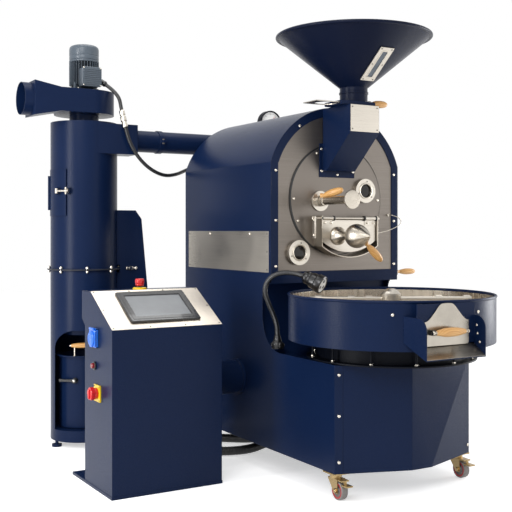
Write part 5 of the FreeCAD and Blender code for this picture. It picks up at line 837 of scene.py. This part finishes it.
def doorHardware():
    # black bushes on the hinge pin, leaf bolts and the bolts of the hinge block
    h = hinge
    repeated("doorBushes", "discharge_door", "blackPlastic", [(x, h["y"], h["z"]) for x in h["bushes"]],
             rightwards, eased([(-3.5, 0), (-3.5, 11.5), (3.5, 11.5), (3.5, 0)], 0.8), 28)
    repeated("doorBolts", "discharge_door", "screwSteel", [(x, h["y"] - 0.2, h["boltZ"]) for x in h["bolts"]],
             forwards, domeProfile(6, 4.2, 2.2), 20)
    repeated("hingeBlockBolts", "discharge_door", "screwSteel",
             [(h["block"], h["y"], z) for z in h["blockHeights"]], leftwards, domeProfile(6, 4, 2.2), 20)
    repeated("pinEnds", "discharge_door", "screwSteel", [(x, h["y"], h["z"]) for x in h["pinEnds"]],
             [rightwards, leftwards], eased([(0, 0), (0, 8), (6, 8), (8, 4), (8, 0)], 0.8), 6, 20)


def probeWire():
    path = flowing(probeRoute, 10)
    swept("probeWire", "roaster", "turnedSteel", path, np.full(len(path), probe["wire"]), upwards, 10, 60)
    turned("probeNut", "roaster", "screwSteel", probe["nut"], forwards,
           [(0, 0), (0, 6), (5, 6), (6, 4), (9, 4), (9, 0)], 6, crease=20)
    turned("probeSeat", "roaster", "screwSteel", probe["seat"], probe["seatAim"],
           [(0, 0), (0, 4), (5, 4), (6, 2.4), (6, 0)], 16)


doorHardware()
probeWire()
print("door hardware")

# the lamp on its bent neck: the route's x and y are counted from the foot, its z from the floor

lampSizes = {"at": (-325, -14), "foot": 540.3, "neck": 10.6, "ribs": 6.5, "ribDepth": 0.9, "head": 40,
             "faceFrom": 85, "lensRing": 17.5, "aim": (45.0, -72.0, -38.0)}
lampRoute = [(0, 0, 588), (-2, 4, 640), (-14, 12, 688), (-34, 18, 736), (-51, 18, 784), (-48, 8, 826),
             (-24, -10, 856), (8, -34, 868), (44, -64, 866), (78, -98, 854)]
lampFoot = [(0, 0), (0, 26), (5, 27), (7, 23), (10, 23), (12, 28), (22, 28), (27, 23), (34, 18), (38, 18.5),
            (46, 16), (54, 14.5), (60, 11.5), (60, 0)]
lampFace = [(0, 0), (0, 32.2), (2.4, 32.2), (3.2, 30), (3.2, 27.5), (2.4, 26.5), (2.6, 10), (3.4, 9),
            (3.4, 0)]


def lamp():
    # the neck's radius waves along its length: r = neck - 0.15 + depth / 2 * cos(2 pi s / pitch)
    k = lampSizes
    x, y = k["at"]
    foot = turned("lampFoot", "lamp_arm", "blackPlastic", (x, y, k["foot"]), upwards,
                  eased(lampFoot, 1.0), 40)
    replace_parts(foot, "lamp_arm")
    turned("lampFootKnob", "lamp_arm", "blackPlastic", (x, y - 19, k["foot"] + 17), forwards,
           eased([(0, 0), (0, 11), (6, 11), (8, 15), (16, 15), (19, 11), (19, 0)], 1.0), 12, crease=25)
    path = flowing(lampRoute + np.array([x, y, 0]), 44)
    ribs = k["neck"] - 0.15 + k["ribDepth"] / 2 * np.cos(2 * np.pi * travelled(path) / k["ribs"])
    swept("lampNeck", "lamp_arm", "neckRubber", path, ribs, (1, 1, 0), 24, 70)
    aim, across, up = sidesOf(np.array(k["aim"]))
    at = path[-1]
    turned("lampHead", "lamp_arm", "blackPlastic", at, aim, eased(
        [(-9, 0), (-9, 12), (-6, 18), (-1, 23), (6, 28), (17, 28), (18, 26), (21, 26), (22, 28), (27, 28.5),
         (31, 31), (37, 34), (56, 34), (59, 37.5), (62, k["head"]), (87, k["head"]), (90, 35), (90, 33),
         (86, 32.5), (86, 0)], 0.9), 56)
    turned("lampFace", "lamp_arm", "whitePlastic", at + aim * k["faceFrom"], aim, eased(lampFace, 0.5), 48)
    lenses = ringOf(at + aim * (k["faceFrom"] + 2.4), k["lensRing"], (90, 210, 330), across, up)
    repeated("lampLenses", "lamp_arm", "screenGlass", lenses, aim,
             eased([(0, 0), (0, 7.5), (1.2, 7.5), (2.6, 5), (3.0, 0)], 0.6), 20, 60)


lamp()
print("lamp")

# the fan's motor and its terminal box

motorSizes = {"radius": 73, "base": 1733, "cowl": 164, "top": 235, "fins": 32,
              "legTurns": (32, 122, 212, 302), "boltTurn": 16.0428}
terminal = {"middle": (-830, 941, 1800), "box": (94, 92, 8), "lid": (98, 96, 9), "boxDepth": 52,
            "ribPitch": 9.0}


def fanMotor():
    # a core darkened as painted shade between the fins, the fins, a cowl on top, a foot ring with four legs
    m = motorSizes
    at = (cyclone["x"], cyclone["y"], m["base"])
    cowl, top = m["cowl"], m["top"]
    core = turned("motorCase", "roaster", "motorCore", at, upwards, eased(
        [(9, 0), (9, 62), (27, 58), (29, 63), (40, 64), (158, 64), (163, 62), (163, 0)], 1.2), 72)
    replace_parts(core, "fan_motor")
    turned("motorFoot", "roaster", "motorPaint", at, upwards,
           eased([(0, 0), (0, 81), (7, 81), (9, 79), (9, 0)], 1.2), 72)
    turned("motorRing", "roaster", "motorPaint", at, upwards,
           eased([(150, 60), (150, 72), (160, 72), (162, 60)], 1.2), 72, True)
    spun("motorFins", "roaster", "motorPaint", at, blockOf((60, -1.3, 34), (m["radius"], 1.3, 158), 0.4),
         np.arange(m["fins"]) * 360 / m["fins"] + 5)
    spun("motorLegs", "roaster", "motorPaint", at, blockOf((56, -7, 2), (76, 7, 44), 0.25), m["legTurns"])
    turned("motorCowl", "roaster", "motorPaint", at, upwards, eased(
        [(cowl - 4, 0), (cowl - 4, 70), (cowl, 72.6), (cowl + 14, 72.6), (cowl + 15, 71.4), (cowl + 18, 71.4),
         (cowl + 19, 72.8), (top - 20, 72.8), (top - 12, 70.5), (top - 6, 65), (top - 2, 56), (top, 47),
         (top, 42), (top - 1.6, 41), (top - 1.6, 37), (top, 36), (top, 31), (top - 1.6, 30), (top - 1.6, 26),
         (top, 25), (top, 0)], 1.0), 72)


def terminalBox():
    # a box with a lid and level ribs across the lid
    b = terminal
    x, y, z = b["middle"]
    front = y - b["boxDepth"] - 7
    slab("terminalBox", "roaster", "motorPaint", b["middle"], *frontFace, roundedRectangle(*b["box"]),
         b["boxDepth"], 2.0)
    slab("terminalLid", "roaster", "motorPaint", (x, y - b["boxDepth"] - 0.2, z), *frontFace,
         roundedRectangle(*b["lid"]), 7, 1.6)
    rises = np.arange(-4, 5)[:, None, None] * b["ribPitch"] * np.array(upwards)
    rib = np.array([x, front, z]) + blockOf((-42, -3.4, -2.2), (42, 0, 2.2))
    blocks("terminalRibs", "roaster", "motorPaint", rib + rises)


def motorScrews():
    # four bolts round the foot ring, and a screw in each corner of the lid
    m, b = motorSizes, terminal
    foot = (cyclone["x"], cyclone["y"], m["base"] + 8)
    repeated("motorBolts", "roaster", "screwSteel",
             ringOf(foot, m["radius"], np.add(m["legTurns"], m["boltTurn"]), up=backwards), upwards,
             [(0, 0), (0, 8), (5, 8), (6, 6), (6, 4), (11, 4), (12, 0)], 6, 20)
    x, y, z = b["middle"]
    corners = [(x + across, y - b["boxDepth"] - 7, z + rise) for across in (-43, 43) for rise in (-42, 42)]
    repeated("lidScrews", "roaster", "screwSteel", corners, forwards, domeProfile(4, 2.4, 1.6), 14)


fanMotor()
terminalBox()
motorScrews()
print("fan motor")

# the gauge on the duct

gaugeSizes = {"at": (186, 871, 1636), "ticks": 31, "tickEnd": 51, "long": (10.0, 5.5), "wide": (1.1, 0.6),
              "lean": -38}


def gauge():
    # a black case over the drawn one, a white dial with even ticks, every fifth one longer, and a needle
    g = gaugeSizes
    x, y, z = g["at"]
    turned("gaugeCase", "roaster", "blackCoat", g["at"], forwards, eased(
        [(-40.6, 0), (-40.6, 60), (-37, 64.4), (1, 64.4), (4, 62.5), (4.4, 59), (2, 57.4), (-3.8, 57),
         (-3.8, 0)], 1.2), 72)
    turned("gaugeDial", "roaster", "whitePlastic", g["at"], forwards,
           [(-3.6, 0), (-3.6, 56.6), (-2.6, 56.6), (-2.6, 0)], 64)
    a = np.linspace(np.radians(-225), np.radians(45), g["ticks"])[:, None, None]
    fifth = (np.arange(g["ticks"]) % 5 == 0)[:, None, None]
    radial = np.concatenate([-np.cos(a), 0 * a, -np.sin(a)], -1)
    sideways = np.concatenate([np.sin(a), 0 * a, -np.cos(a)], -1)
    inward, aside, depth = np.split(blockOf((0, -1, 0), (1, 1, 1))[None], 3, axis=-1)
    ticks = (np.array([x, y + 2.55, z]) + radial * (g["tickEnd"] - inward * np.where(fifth, *g["long"]))
             + sideways * aside * np.where(fifth, *g["wide"]) + np.array([0, -0.35, 0]) * depth)
    blocks("gaugeTicks", "roaster", "blackPlastic", ticks)
    lean = math.radians(g["lean"])
    needle = [(-1.2, -14), (1.2, -14), (2.2, 0), (0.4, 44), (-0.4, 44), (-2.2, 0)]
    slab("gaugeNeedle", "roaster", "redPlastic", (x, y + 1.8, z),
         (math.cos(lean), 0, math.sin(lean)), (-math.sin(lean), 0, math.cos(lean)), needle, 0.9, 0.2)
    turned("gaugeHub", "roaster", "blackPlastic", (x, y + 2.6, z), forwards,
           eased([(0, 0), (0, 5), (3, 5), (4, 3), (4, 0)], 0.6), 24)


gauge()
print("gauge")

# what is fitted to the console

console = {"side": -1086, "stop": (-848, 262, 798), "screenAcross": 248.5, "screenAlong": 142,
           "switch": (130, 395), "button": (162, 502), "socket": (162, 615)}


def onSide(name, lift, alongY=0, alongZ=0):
    # a spot off the console's left side, counted from the middle of a fitting
    y, z = console[name]
    return console["side"] - lift, y + alongY, z + alongZ


def emergencyStop():
    # a stem in its hole, a red mushroom head and a yellow ring on the ledge
    x, y, z = console["stop"]
    stem = turned("stopStem", "emergency_stop", "blackPlastic", (x, y, z), upwards, eased(
        [(-10, 0), (-10, 10.9), (14, 10.9), (15, 12), (15, 0)], 0.8), 48)
    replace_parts(stem, "emergency_stop")
    turned("stopMushroom", "emergency_stop", "redPlastic", (x, y, z), upwards, eased(
        [(15, 0), (15, 16.5), (20, 18.5), (25, 17.8), (27, 19.6), (40, 19.6), (44.5, 18), (46, 14.5),
         (46, 0)], 1.3), 56)
    turned("stopRing", "roaster", "yellowPlastic", (x, y, z + 5), upwards,
           eased([(-0.1, 11.2), (-0.1, 28.4), (2, 28.4), (3.6, 26), (3.6, 11.2)], 0.6), 56, True)


def touchScreen():
    # a case with a raised rim round a sunk display
    def onDesk(name, finish, lift, size, thickness, bevel, hole=None):
        inner = None if hole is None else roundedRectangle(*hole)
        return slab(name, "roaster", finish, deskPoint(console["screenAcross"], console["screenAlong"], lift),
                    rightwards, deskUp, roundedRectangle(*size), thickness, bevel, inner=inner)

    case = onDesk("screenCase", "screenBezel", 2.02, (309, 212, 9), 10, 2.6, (247, 146, 2))
    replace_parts(case, "touch_screen")
    onDesk("screenRim", "screenBezel", 12.0, (283, 186, 5), 1.2, 0.5, (253, 152, 2))
    onDesk("screenDisplay", "screenGlass", 4.0, (249, 148, 2), 6.2, 0.3)


def mainSwitch():
    # a round hub, a lobed knob r = 26.5 - 4.2 * cos(2.5 a + 0.6) ^ 6 and a bar across it
    hub = turned("switchHub", "main_switch", "redPlastic", onSide("switch", 6.3), leftwards,
                 eased([(0, 0), (0, 22), (9, 22), (14, 20), (16, 19), (16, 0)], 1.4), 48)
    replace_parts(hub, "main_switch")
    a = np.linspace(0, 2 * np.pi, 120, endpoint=False)[:, None]
    lobes = circle(120) * (26.5 - 4.2 * np.cos(2.5 * a + 0.6) ** 6)
    slab("switchLobes", "main_switch", "redPlastic", onSide("switch", 18), *leftFace, lobes, 20, 3.0)
    slab("switchBar", "main_switch", "redPlastic", onSide("switch", 36), *leftFace,
         roundedRectangle(12, 40, 5), 7, 2.0)
    corners = [onSide("switch", 6, y, z) for y in (-27, 27) for z in (-27, 27)]
    repeated("switchScrews", "roaster", "darkScrew", corners, leftwards, domeProfile(3.4, 1.8, 1.4), 14)


def pushButton():
    cap = turned("buttonCap", "stop_button", "darkRed", onSide("button", 0), leftwards,
                 eased([(-12, 0), (-12, 10.9), (15, 10.9), (17.6, 9.2), (18, 6), (18, 0)], 1.0), 40)
    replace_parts(cap, "stop_button")
    turned("buttonBezel", "roaster", "blackPlastic", onSide("button", 6), leftwards,
           eased([(-5.9, 16.1), (-5.9, 17), (0, 17), (2, 15.5), (2, 12.2), (0, 11.4)], 0.6), 40, True)


def socket():
    # a frame with a black well, and a domed lid with its hinge barrel and tab
    slab("socketFrame", "roaster", "bluePlastic", onSide("socket", 0), *leftFace, roundedRectangle(71, 79, 7),
         9.1, 1.6, inner=roundedRectangle(41.8, 41.8, 20.8))
    turned("socketWell", "roaster", "blackPlastic", onSide("socket", 1), leftwards,
           [(0, 0), (0, 20.7), (1.2, 20.7), (1.2, 0)], 40)
    lid = slab("socketLid", "socket_flap", "bluePlastic", onSide("socket", 9.35), *leftFace,
               roundedRectangle(66, 70, 10), 5.6, 1.8)
    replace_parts(lid, "socket_flap")
    turned("socketDome", "socket_flap", "bluePlastic", onSide("socket", 14.9, 0, -3), leftwards,
           eased([(-0.4, 0), (-0.4, 31), (4, 30.5), (8, 27), (10, 20), (9, 17), (9, 0)], 1.0), 48)
    turned("socketBarrel", "socket_flap", "bluePlastic", onSide("socket", 14.3, -25, 37), backwards,
           eased([(0, 0), (0, 4.9), (50, 4.9), (50, 0)], 0.7), 24)
    slab("socketTab", "socket_flap", "bluePlastic", onSide("socket", 14.4, 0, -32), *leftFace,
         roundedRectangle(26, 9, 3), 6, 1.4)


emergencyStop()
touchScreen()
mainSwitch()
pushButton()
socket()
print("console fittings")

# wheels

wheelSizes = {"radius": 37.5, "nutOut": 22.5, "front": (317, -460), "rear": (300, 760)}
wheelTread = [(-14.4, 29), (-14.8, 33), (-13, 36.6), (-9, 37.5), (9, 37.5), (13, 36.6), (14.8, 33),
              (14.4, 29)]
wheelBand = [(-14.6, 25), (-15, 27), (-15, 31), (-14.2, 32), (14.2, 32), (15, 31), (15, 27), (14.6, 25)]
wheelHub = [(-13.5, 6.2), (-13.5, 11), (-9, 13), (-8.5, 21), (-12.6, 24), (-13.4, 26), (13.4, 26), (12.6, 24),
            (8.5, 21), (9, 13), (13.5, 11), (13.5, 6.2)]
axleNut = [(-3, 0), (-3, 9.5), (3.5, 9.5), (4.5, 7), (4.5, 0)]


def wheel(body, x, y):
    # grey tread, a red band on each side and a grey hub round the axle
    tag = body.replace("_", " ").title().replace(" ", "")
    for part, finish, profile, ease, sides in (("tread", "wheelGrey", wheelTread, 1.0, 64),
                                               ("band", "wheelRed", wheelBand, 0.5, 64),
                                               ("hub", "wheelGrey", wheelHub, 0.8, 56)):
        ring = turned(part + tag, body, finish, (x, y, wheelSizes["radius"]), rightwards,
                      eased(profile, ease), sides, True)
        if part == "tread":
            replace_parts(ring, body)


def axleNuts(name, body, wheels):
    out = wheelSizes["nutOut"]
    spots = [(x + off, y, wheelSizes["radius"]) for x, y in wheels for off in (out, -out)]
    repeated(name, body, "zincYellow", spots, [rightwards, leftwards] * len(wheels), axleNut, 6, 20)


def wheels():
    front, rear = wheelSizes["front"], wheelSizes["rear"]
    for name, (x, y) in (("castor_wheel", front), ("rear_wheel", rear)):
        for side, sign in (("left", -1), ("right", 1)):
            wheel(name + "_" + side, sign * x, y)
    for side, sign in (("left", -1), ("right", 1)):
        axleNuts("axleNuts." + side, "castor_fork_" + side, [(sign * front[0], front[1])])
    axleNuts("rearAxleNuts", "roaster", [(-rear[0], rear[1]), rear])


# small fittings of the tray and the cyclone

trayStuds = {"radius": 330, "first": 8, "count": 12, "ring": 535.0, "shell": 600.0, "band": 529}
chuteFloor = {"left": -226.8, "right": 55.8, "front": -866, "low": 584.25, "slope": 200 / 285,
              "wall": (0, -0.6, 0.9)}
flange = {"ring": 170, "first": 15, "count": 8, "above": 865.0, "below": 855.0, "gasket": 860, "edge": 176.4}
latch = {"radius": 187.5, "pivot": 64.0, "end": 43.0, "z": 1240.0, "nutAt": 52}
flangeNut = [(0, 0), (0, 7.6), (5.5, 7.6), (7, 6.2), (10, 5.2), (12, 2.6), (12.4, 0)]
tieProfile = [(-26, 0), (-26, 6), (-24, 7.4), (-18, 7.4), (-17, 5), (4, 5), (5, 8.5), (11, 8.5), (12, 5),
              (20, 5), (23, 8), (28, 9), (33, 7), (35, 0)]


def trayWall(x, gap):
    # the y of the tray's front wall at each x, a gap outside it
    return traySizes["y"] - np.sqrt((traySizes["radius"] + gap) ** 2 - np.square(x))


def trayFittings():
    # nuts on the studs below the tray, the band on their ring, the steel floor of the chute and its bolts
    k = trayStuds
    turns = k["first"] + np.arange(k["count"]) * 360 / k["count"]
    low, high = (ringOf((0, traySizes["y"], z), k["radius"], turns, up=backwards)
                 for z in (k["ring"], k["shell"]))
    repeated("ringNuts", "roaster", "screwSteel", low, upwards,
             [(0, 0), (0, 7.5), (6, 7.5), (7.5, 6), (7.5, 0)], 6, 20)
    repeated("trayNuts", "roaster", "screwSteel", high, downwards,
             [(0, 0), (0, 7.5), (6, 7.5), (7.5, 6.4), (11, 5.4), (13, 3), (13.5, 0)], 12, 20)
    turned("ringBand", "roaster", "blackCoat", (0, traySizes["y"], k["band"]), upwards,
           eased([(0.4, 347.8), (0.4, 349.4), (6.4, 349.4), (6.4, 347.8)], 0.5), 160, True)
    f = chuteFloor
    across = np.linspace(f["left"], f["right"], 49)
    y = f["front"] + np.linspace(0, 1, 9)[:, None] * (trayWall(across, 0.3) - f["front"])
    z = f["low"] + (y - f["front"]) * f["slope"]
    sheetOf("chuteFloor", "roaster", "brightSteel", np.stack([np.broadcast_to(across, y.shape), y, z], -1),
            f["wall"])
    repeated("cheekScrews", "roaster", "screwSteel",
             [(55.9, -822, 694), (55.9, -826, 663), (55.9, -838, 632)], leftwards, domeProfile(5, 3, 2), 18)
    x, z = np.array([(-262, 738), (84, 741)], float).T
    wall = np.stack([x, trayWall(x, 0.2), z], 1)
    repeated("wallBolts", "roaster", "screwSteel", wall, (wall - [0, traySizes["y"], 0]) * [1, 1, 0],
             domeProfile(6.5, 4.5, 2.2), 18)


def cycloneFittings():
    # bolts through the flange with domed nuts above and below, its dark gasket, the stand's tie screws
    k = flange
    angles = k["first"] + 360 / k["count"] * np.arange(k["count"])
    repeated("flangeNutsUpper", "roaster", "screwSteel", onCyclone(k["ring"], angles, k["above"]), upwards,
             flangeNut, 12, 20)
    repeated("flangeNutsLower", "roaster", "screwSteel", onCyclone(k["ring"], angles, k["below"]), downwards,
             flangeNut, 12, 20)
    turned("flangeGasket", "roaster", "blackRubber", (cyclone["x"], cyclone["y"], k["gasket"]), upwards,
           circle(12)[:, ::-1] * 2.6 + [0, k["edge"]], 120, True)
    for tag, z in (("Low", 700), ("High", 862)):
        turned("tieScrew" + tag, "roaster", "screwSteel", (-622, 898.6, z), rightwards,
               eased(tieProfile, 0.8), 24)
        turned("tieCap" + tag, "roaster", "blackPlastic", (-622, 905, z), forwards,
               eased([(-0.2, 0), (-0.2, 12), (8, 12), (9, 10), (9, 0)], 0.8), 6, crease=20)
    repeated("clampBolt", "roaster", "darkScrew", [(-475, 824, 1503.8), (-475, 824, 1490.2)],
             [upwards, downwards], [(0, 0), (0, 7), (5, 7), (6, 5), (6, 0)], 6, 20)


def wingNut():
    k = latch
    pivot = onCyclone(k["radius"], k["pivot"], k["z"])
    lever = unit(onCyclone(k["radius"], k["end"], k["z"]) - pivot)
    wing = [(-19, 0), (-17, 8), (-8, 9), (-5, 6), (5, 6), (8, 9), (17, 8), (19, 0), (15, -6), (-15, -6)]
    slab("wingNut", "door_latch", "screwSteel", pivot + lever * k["nutAt"], upwards,
         np.cross(lever, upwards), wing, 8, 1.4)


wheels()
trayFittings()
cycloneFittings()
wingNut()
print("wheels, tray and cyclone fittings")

# the free cords: the motor's cable and the two floor conduits

cords = {
    "motorCable": {"diameter": 18, "node": "motor_cable", "length": 1.02, "points": [
        (-756, 896, 1769), (-708, 846, 1722), (-700, 826, 1640), (-690, 806, 1560), (-668, 802, 1480),
        (-622, 798, 1405), (-556, 800, 1350), (-476, 812, 1322), (-395, 845, 1334), (-325, 903, 1356),
        (-255, 942, 1382), (-182, 932, 1398), (-145, 892, 1400), (-145, 842, 1400)]},
    "hoseFront": {"diameter": 42, "node": "hose_front", "ribs": 7.0, "ribDepth": 1.1, "points": [
        (-745, 305, 64), (-745, 392, 64), (-697, 465, 48), (-612, 500, 28), (-520, 478, 21.5),
        (-432, 420, 21.5), (-338, 362, 21.5), (-240, 345, 25), (-150, 368, 38), (-60, 383, 46),
        (39, 383, 46)]},
    "hoseRear": {"diameter": 42, "node": "hose_rear", "ribs": 7.0, "ribDepth": 1.1, "points": [
        (-835, 305, 64), (-835, 390, 64), (-812, 478, 48), (-755, 560, 28), (-672, 620, 21.5),
        (-575, 662, 21.5), (-470, 690, 21.5), (-365, 685, 21.5), (-270, 643, 21.5), (-203, 575, 24),
        (-160, 503, 32), (-103, 458, 40), (-30, 441, 46), (39, 441, 46)]},
}
couplingProfile = [(0, 9.1), (0, 12), (4, 14), (24, 14), (25, 11), (31, 11), (32, 15), (56, 15), (57, 11),
                   (63, 11), (64, 13.6), (85, 13.6), (88, 11.5), (88, 9.1)]


def splinePath(points, steps):
    # the quadratic B-spline of the points: three of them at a time weighed by
    # (1 - t)^2 / 2, (1 + 2 t - 2 t^2) / 2 and t^2 / 2
    p = np.asarray(points, float)
    p = np.vstack([2 * p[0] - p[1], p, 2 * p[-1] - p[-2]])
    t = np.linspace(0, 1, steps, endpoint=False)[None, :, None]
    a, b, c = p[:-2, None], p[1:-1, None], p[2:, None]
    curve = (a * (1 - t) ** 2 + b * (1 + 2 * t - 2 * t * t) + c * t * t) / 2
    return curve.reshape(-1, 3)[steps // 2:-(steps // 2)]


def cable():
    # a round curve, with its coupling and the glands at both ends
    k = cords["motorCable"]
    curve = bpy.data.curves.new("motorCable", "CURVE")
    curve.dimensions = "3D"
    line = curve.splines.new("NURBS")
    spots = place(k["points"])
    line.points.add(len(spots) - 1)
    line.points.foreach_set("co", np.hstack([spots, np.ones((len(spots), 1))]).ravel())
    line.order_u = 3
    line.use_endpoint_u = True
    curve.resolution_u = 10
    curve.bevel_depth = k["diameter"] / 2000
    curve.bevel_resolution = 5
    curve.use_fill_caps = True
    obj = linked("motorCable", curve)
    dress(obj, "blackRubber")
    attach(obj, "roaster")
    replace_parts(obj, k["node"])
    start, second, third, fourth = np.array(k["points"][:4], float)
    aim = unit(fourth - third)
    coupling = turned("cableCoupling", "roaster", "screwSteel", (third + fourth) / 2 - aim * 38, aim,
                      eased(couplingProfile, 0.6), 24, True)
    first = unit(second - start)
    gland = turned("motorGland", "roaster", "blackPlastic", start - first * 25, first, eased(
        [(0, 0), (0, 13), (12, 13), (13, 14.5), (22, 14.5), (24, 12.5), (31, 9.4), (31, 0)], 0.8), 12,
        crease=20)
    turned("motorGlandElbow", "roaster", "motorPaint", start - first * 26 - [20, 0, 0], rightwards,
           eased([(-6, 0), (-6, 15), (2, 15), (3, 12.8), (24, 12.8), (28, 9), (28, 0)], 1.0), 28)
    rear = turned("rearGland", "roaster", "blackPlastic", (-145, 830, 1400), backwards, eased(
        [(0.1, 0), (0.1, 14.4), (6, 14.4), (7, 12.4), (12, 12.4), (20, 9.4), (20, 0)], 0.8), 6, crease=20)


def conduit(name):
    # corrugated tube: r = radius - depth * (1 - cos(2 pi s / pitch)) along the path
    k = cords[name]
    fine = splinePath(k["points"], 60)
    along = travelled(fine)
    even = np.linspace(0, along[-1], int(along[-1] / k["ribs"] * 6))
    path = np.stack([np.interp(even, along, fine[:, axis]) for axis in range(3)], 1)
    radius = k["diameter"] / 2 - k["ribDepth"] * (1 - np.cos(2 * np.pi * even / k["ribs"]))
    obj = swept(name, "roaster", "blackRubber", path, radius, upwards, 24, 80)
    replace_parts(obj, k["node"])


def glandRings():
    # black gland nuts over the console's and the chassis box's own rings
    for tag, x in (("Front", -745), ("Rear", -835)):
        turned("consoleGland" + tag, "roaster", "blackPlastic", (x, 281, 64), backwards, eased(
            [(0.2, 21.4), (0.2, 27.5), (9, 27.5), (10, 26.4), (24.4, 26.4), (26, 24), (26, 21.4)], 0.8), 48,
            True)
    for tag, y in (("Front", 383), ("Rear", 441)):
        turned("chassisGland" + tag, "roaster", "blackPlastic", (38.6, y, 46), leftwards, eased(
            [(0, 21.4), (0, 24.6), (12, 24.6), (14, 23), (14, 21.4)], 0.8), 40, True)


cable()
conduit("hoseFront")
conduit("hoseRear")
glandRings()
print("cords")

# floor, white surroundings, lamps and camera

roomSizes = {"floor": 12.0, "white": 1.0, "ambient": 0.55, "floorGlow": 0.5}
lamps = {
    "keyPanel": {"at": (-3.4, -3.2, 3.6), "to": (0.0, 0.0, 1.0), "size": (2.6, 2.6), "watts": 120},
    "leftStrip": {"at": (-2.9, -0.1, 1.3), "to": (-0.5, 0.84, 1.2), "size": (0.45, 2.2), "watts": 54},
    "rightPanel": {"at": (3.6, -0.8, 1.1), "to": (0.3, -0.4, 0.7), "size": (1.5, 1.6), "watts": 54},
    "frontPanel": {"at": (2.7, -4.2, 1.2), "to": (-0.2, -0.2, 0.8), "size": (3.2, 2.4), "watts": 18},
    "topPanel": {"at": (0.0, 0.4, 4.6), "to": (0.0, 0.2, 1.0), "size": (3.2, 2.4), "watts": 75},
}
view = {"lens": 64.36, "sensor": 36, "shift": -0.0499, "at": (-2.0836, -3.5160, 1.0500),
        "turn": (90, 0, -30.62)}


def seenDirectly(tree):
    # 1 for rays of the camera, of reflections and through glass, 0 for those that only bring light
    path = tree.add("LightPath").outputs
    seen = tree.maths("MAXIMUM", path["Is Camera Ray"], path["Is Glossy Ray"])
    return tree.maths("MAXIMUM", seen, path["Is Transmission Ray"])


def whiteRoom():
    # a floor that keeps the shadow, and surroundings that show white but light the piece less
    half = roomSizes["floor"]
    mesh = bpy.data.meshes.new("floor")
    mesh.from_pydata([(-half, -half, 0), (half, -half, 0), (half, half, 0), (-half, half, 0)], [],
                     [(0, 1, 2, 3)])
    floor = linked("floor", mesh)
    paint = Tree("floorPaint")
    grain = paint.noise(paint.where(), 3.0)
    paint.surface(Base_Color=paint.blend(grain, (0.83, 0.83, 0.83), (0.86, 0.86, 0.86)), Roughness=0.9)
    glow = paint.add("Emission", Color=(1, 1, 1, 1),
                     Strength=paint.maths("MULTIPLY", seenDirectly(paint), roomSizes["floorGlow"]))
    both = paint.add("AddShader")
    for shader, entry in zip((paint.shader, glow), both.inputs):
        paint.feed(entry, shader.outputs[0])
    paint.feed(paint.nodes["Material Output"].inputs["Surface"], both.outputs[0])
    mesh.materials.append(paint.owner)
    world = Tree("surroundings", "worlds", "Background")
    level = world.spread(seenDirectly(world), roomSizes["ambient"], roomSizes["white"], 0.0, 1.0)
    world.surface(Color=(1, 1, 1, 1), Strength=level)
    bpy.context.scene.world = world.owner


def lightRoom():
    for name, k in lamps.items():
        data = bpy.data.lights.new(name, "AREA")
        data.shape = "RECTANGLE"
        data.size, data.size_y = k["size"]
        data.energy = k["watts"]
        obj = linked(name, data)
        obj.location = k["at"]
        obj.rotation_euler = (Vector(k["to"]) - Vector(k["at"])).to_track_quat("-Z", "Y").to_euler()


def camera():
    data = bpy.data.cameras.new("viewCamera")
    data.lens = view["lens"]
    data.sensor_width = view["sensor"]
    data.shift_y = view["shift"]
    obj = linked("viewCamera", data)
    obj.location = view["at"]
    obj.rotation_euler = [math.radians(turn) for turn in view["turn"]]
    bpy.context.scene.camera = obj


whiteRoom()
lightRoom()
camera()
bpy.context.scene.view_settings.view_transform = "Standard"
print("room, lamps and camera")
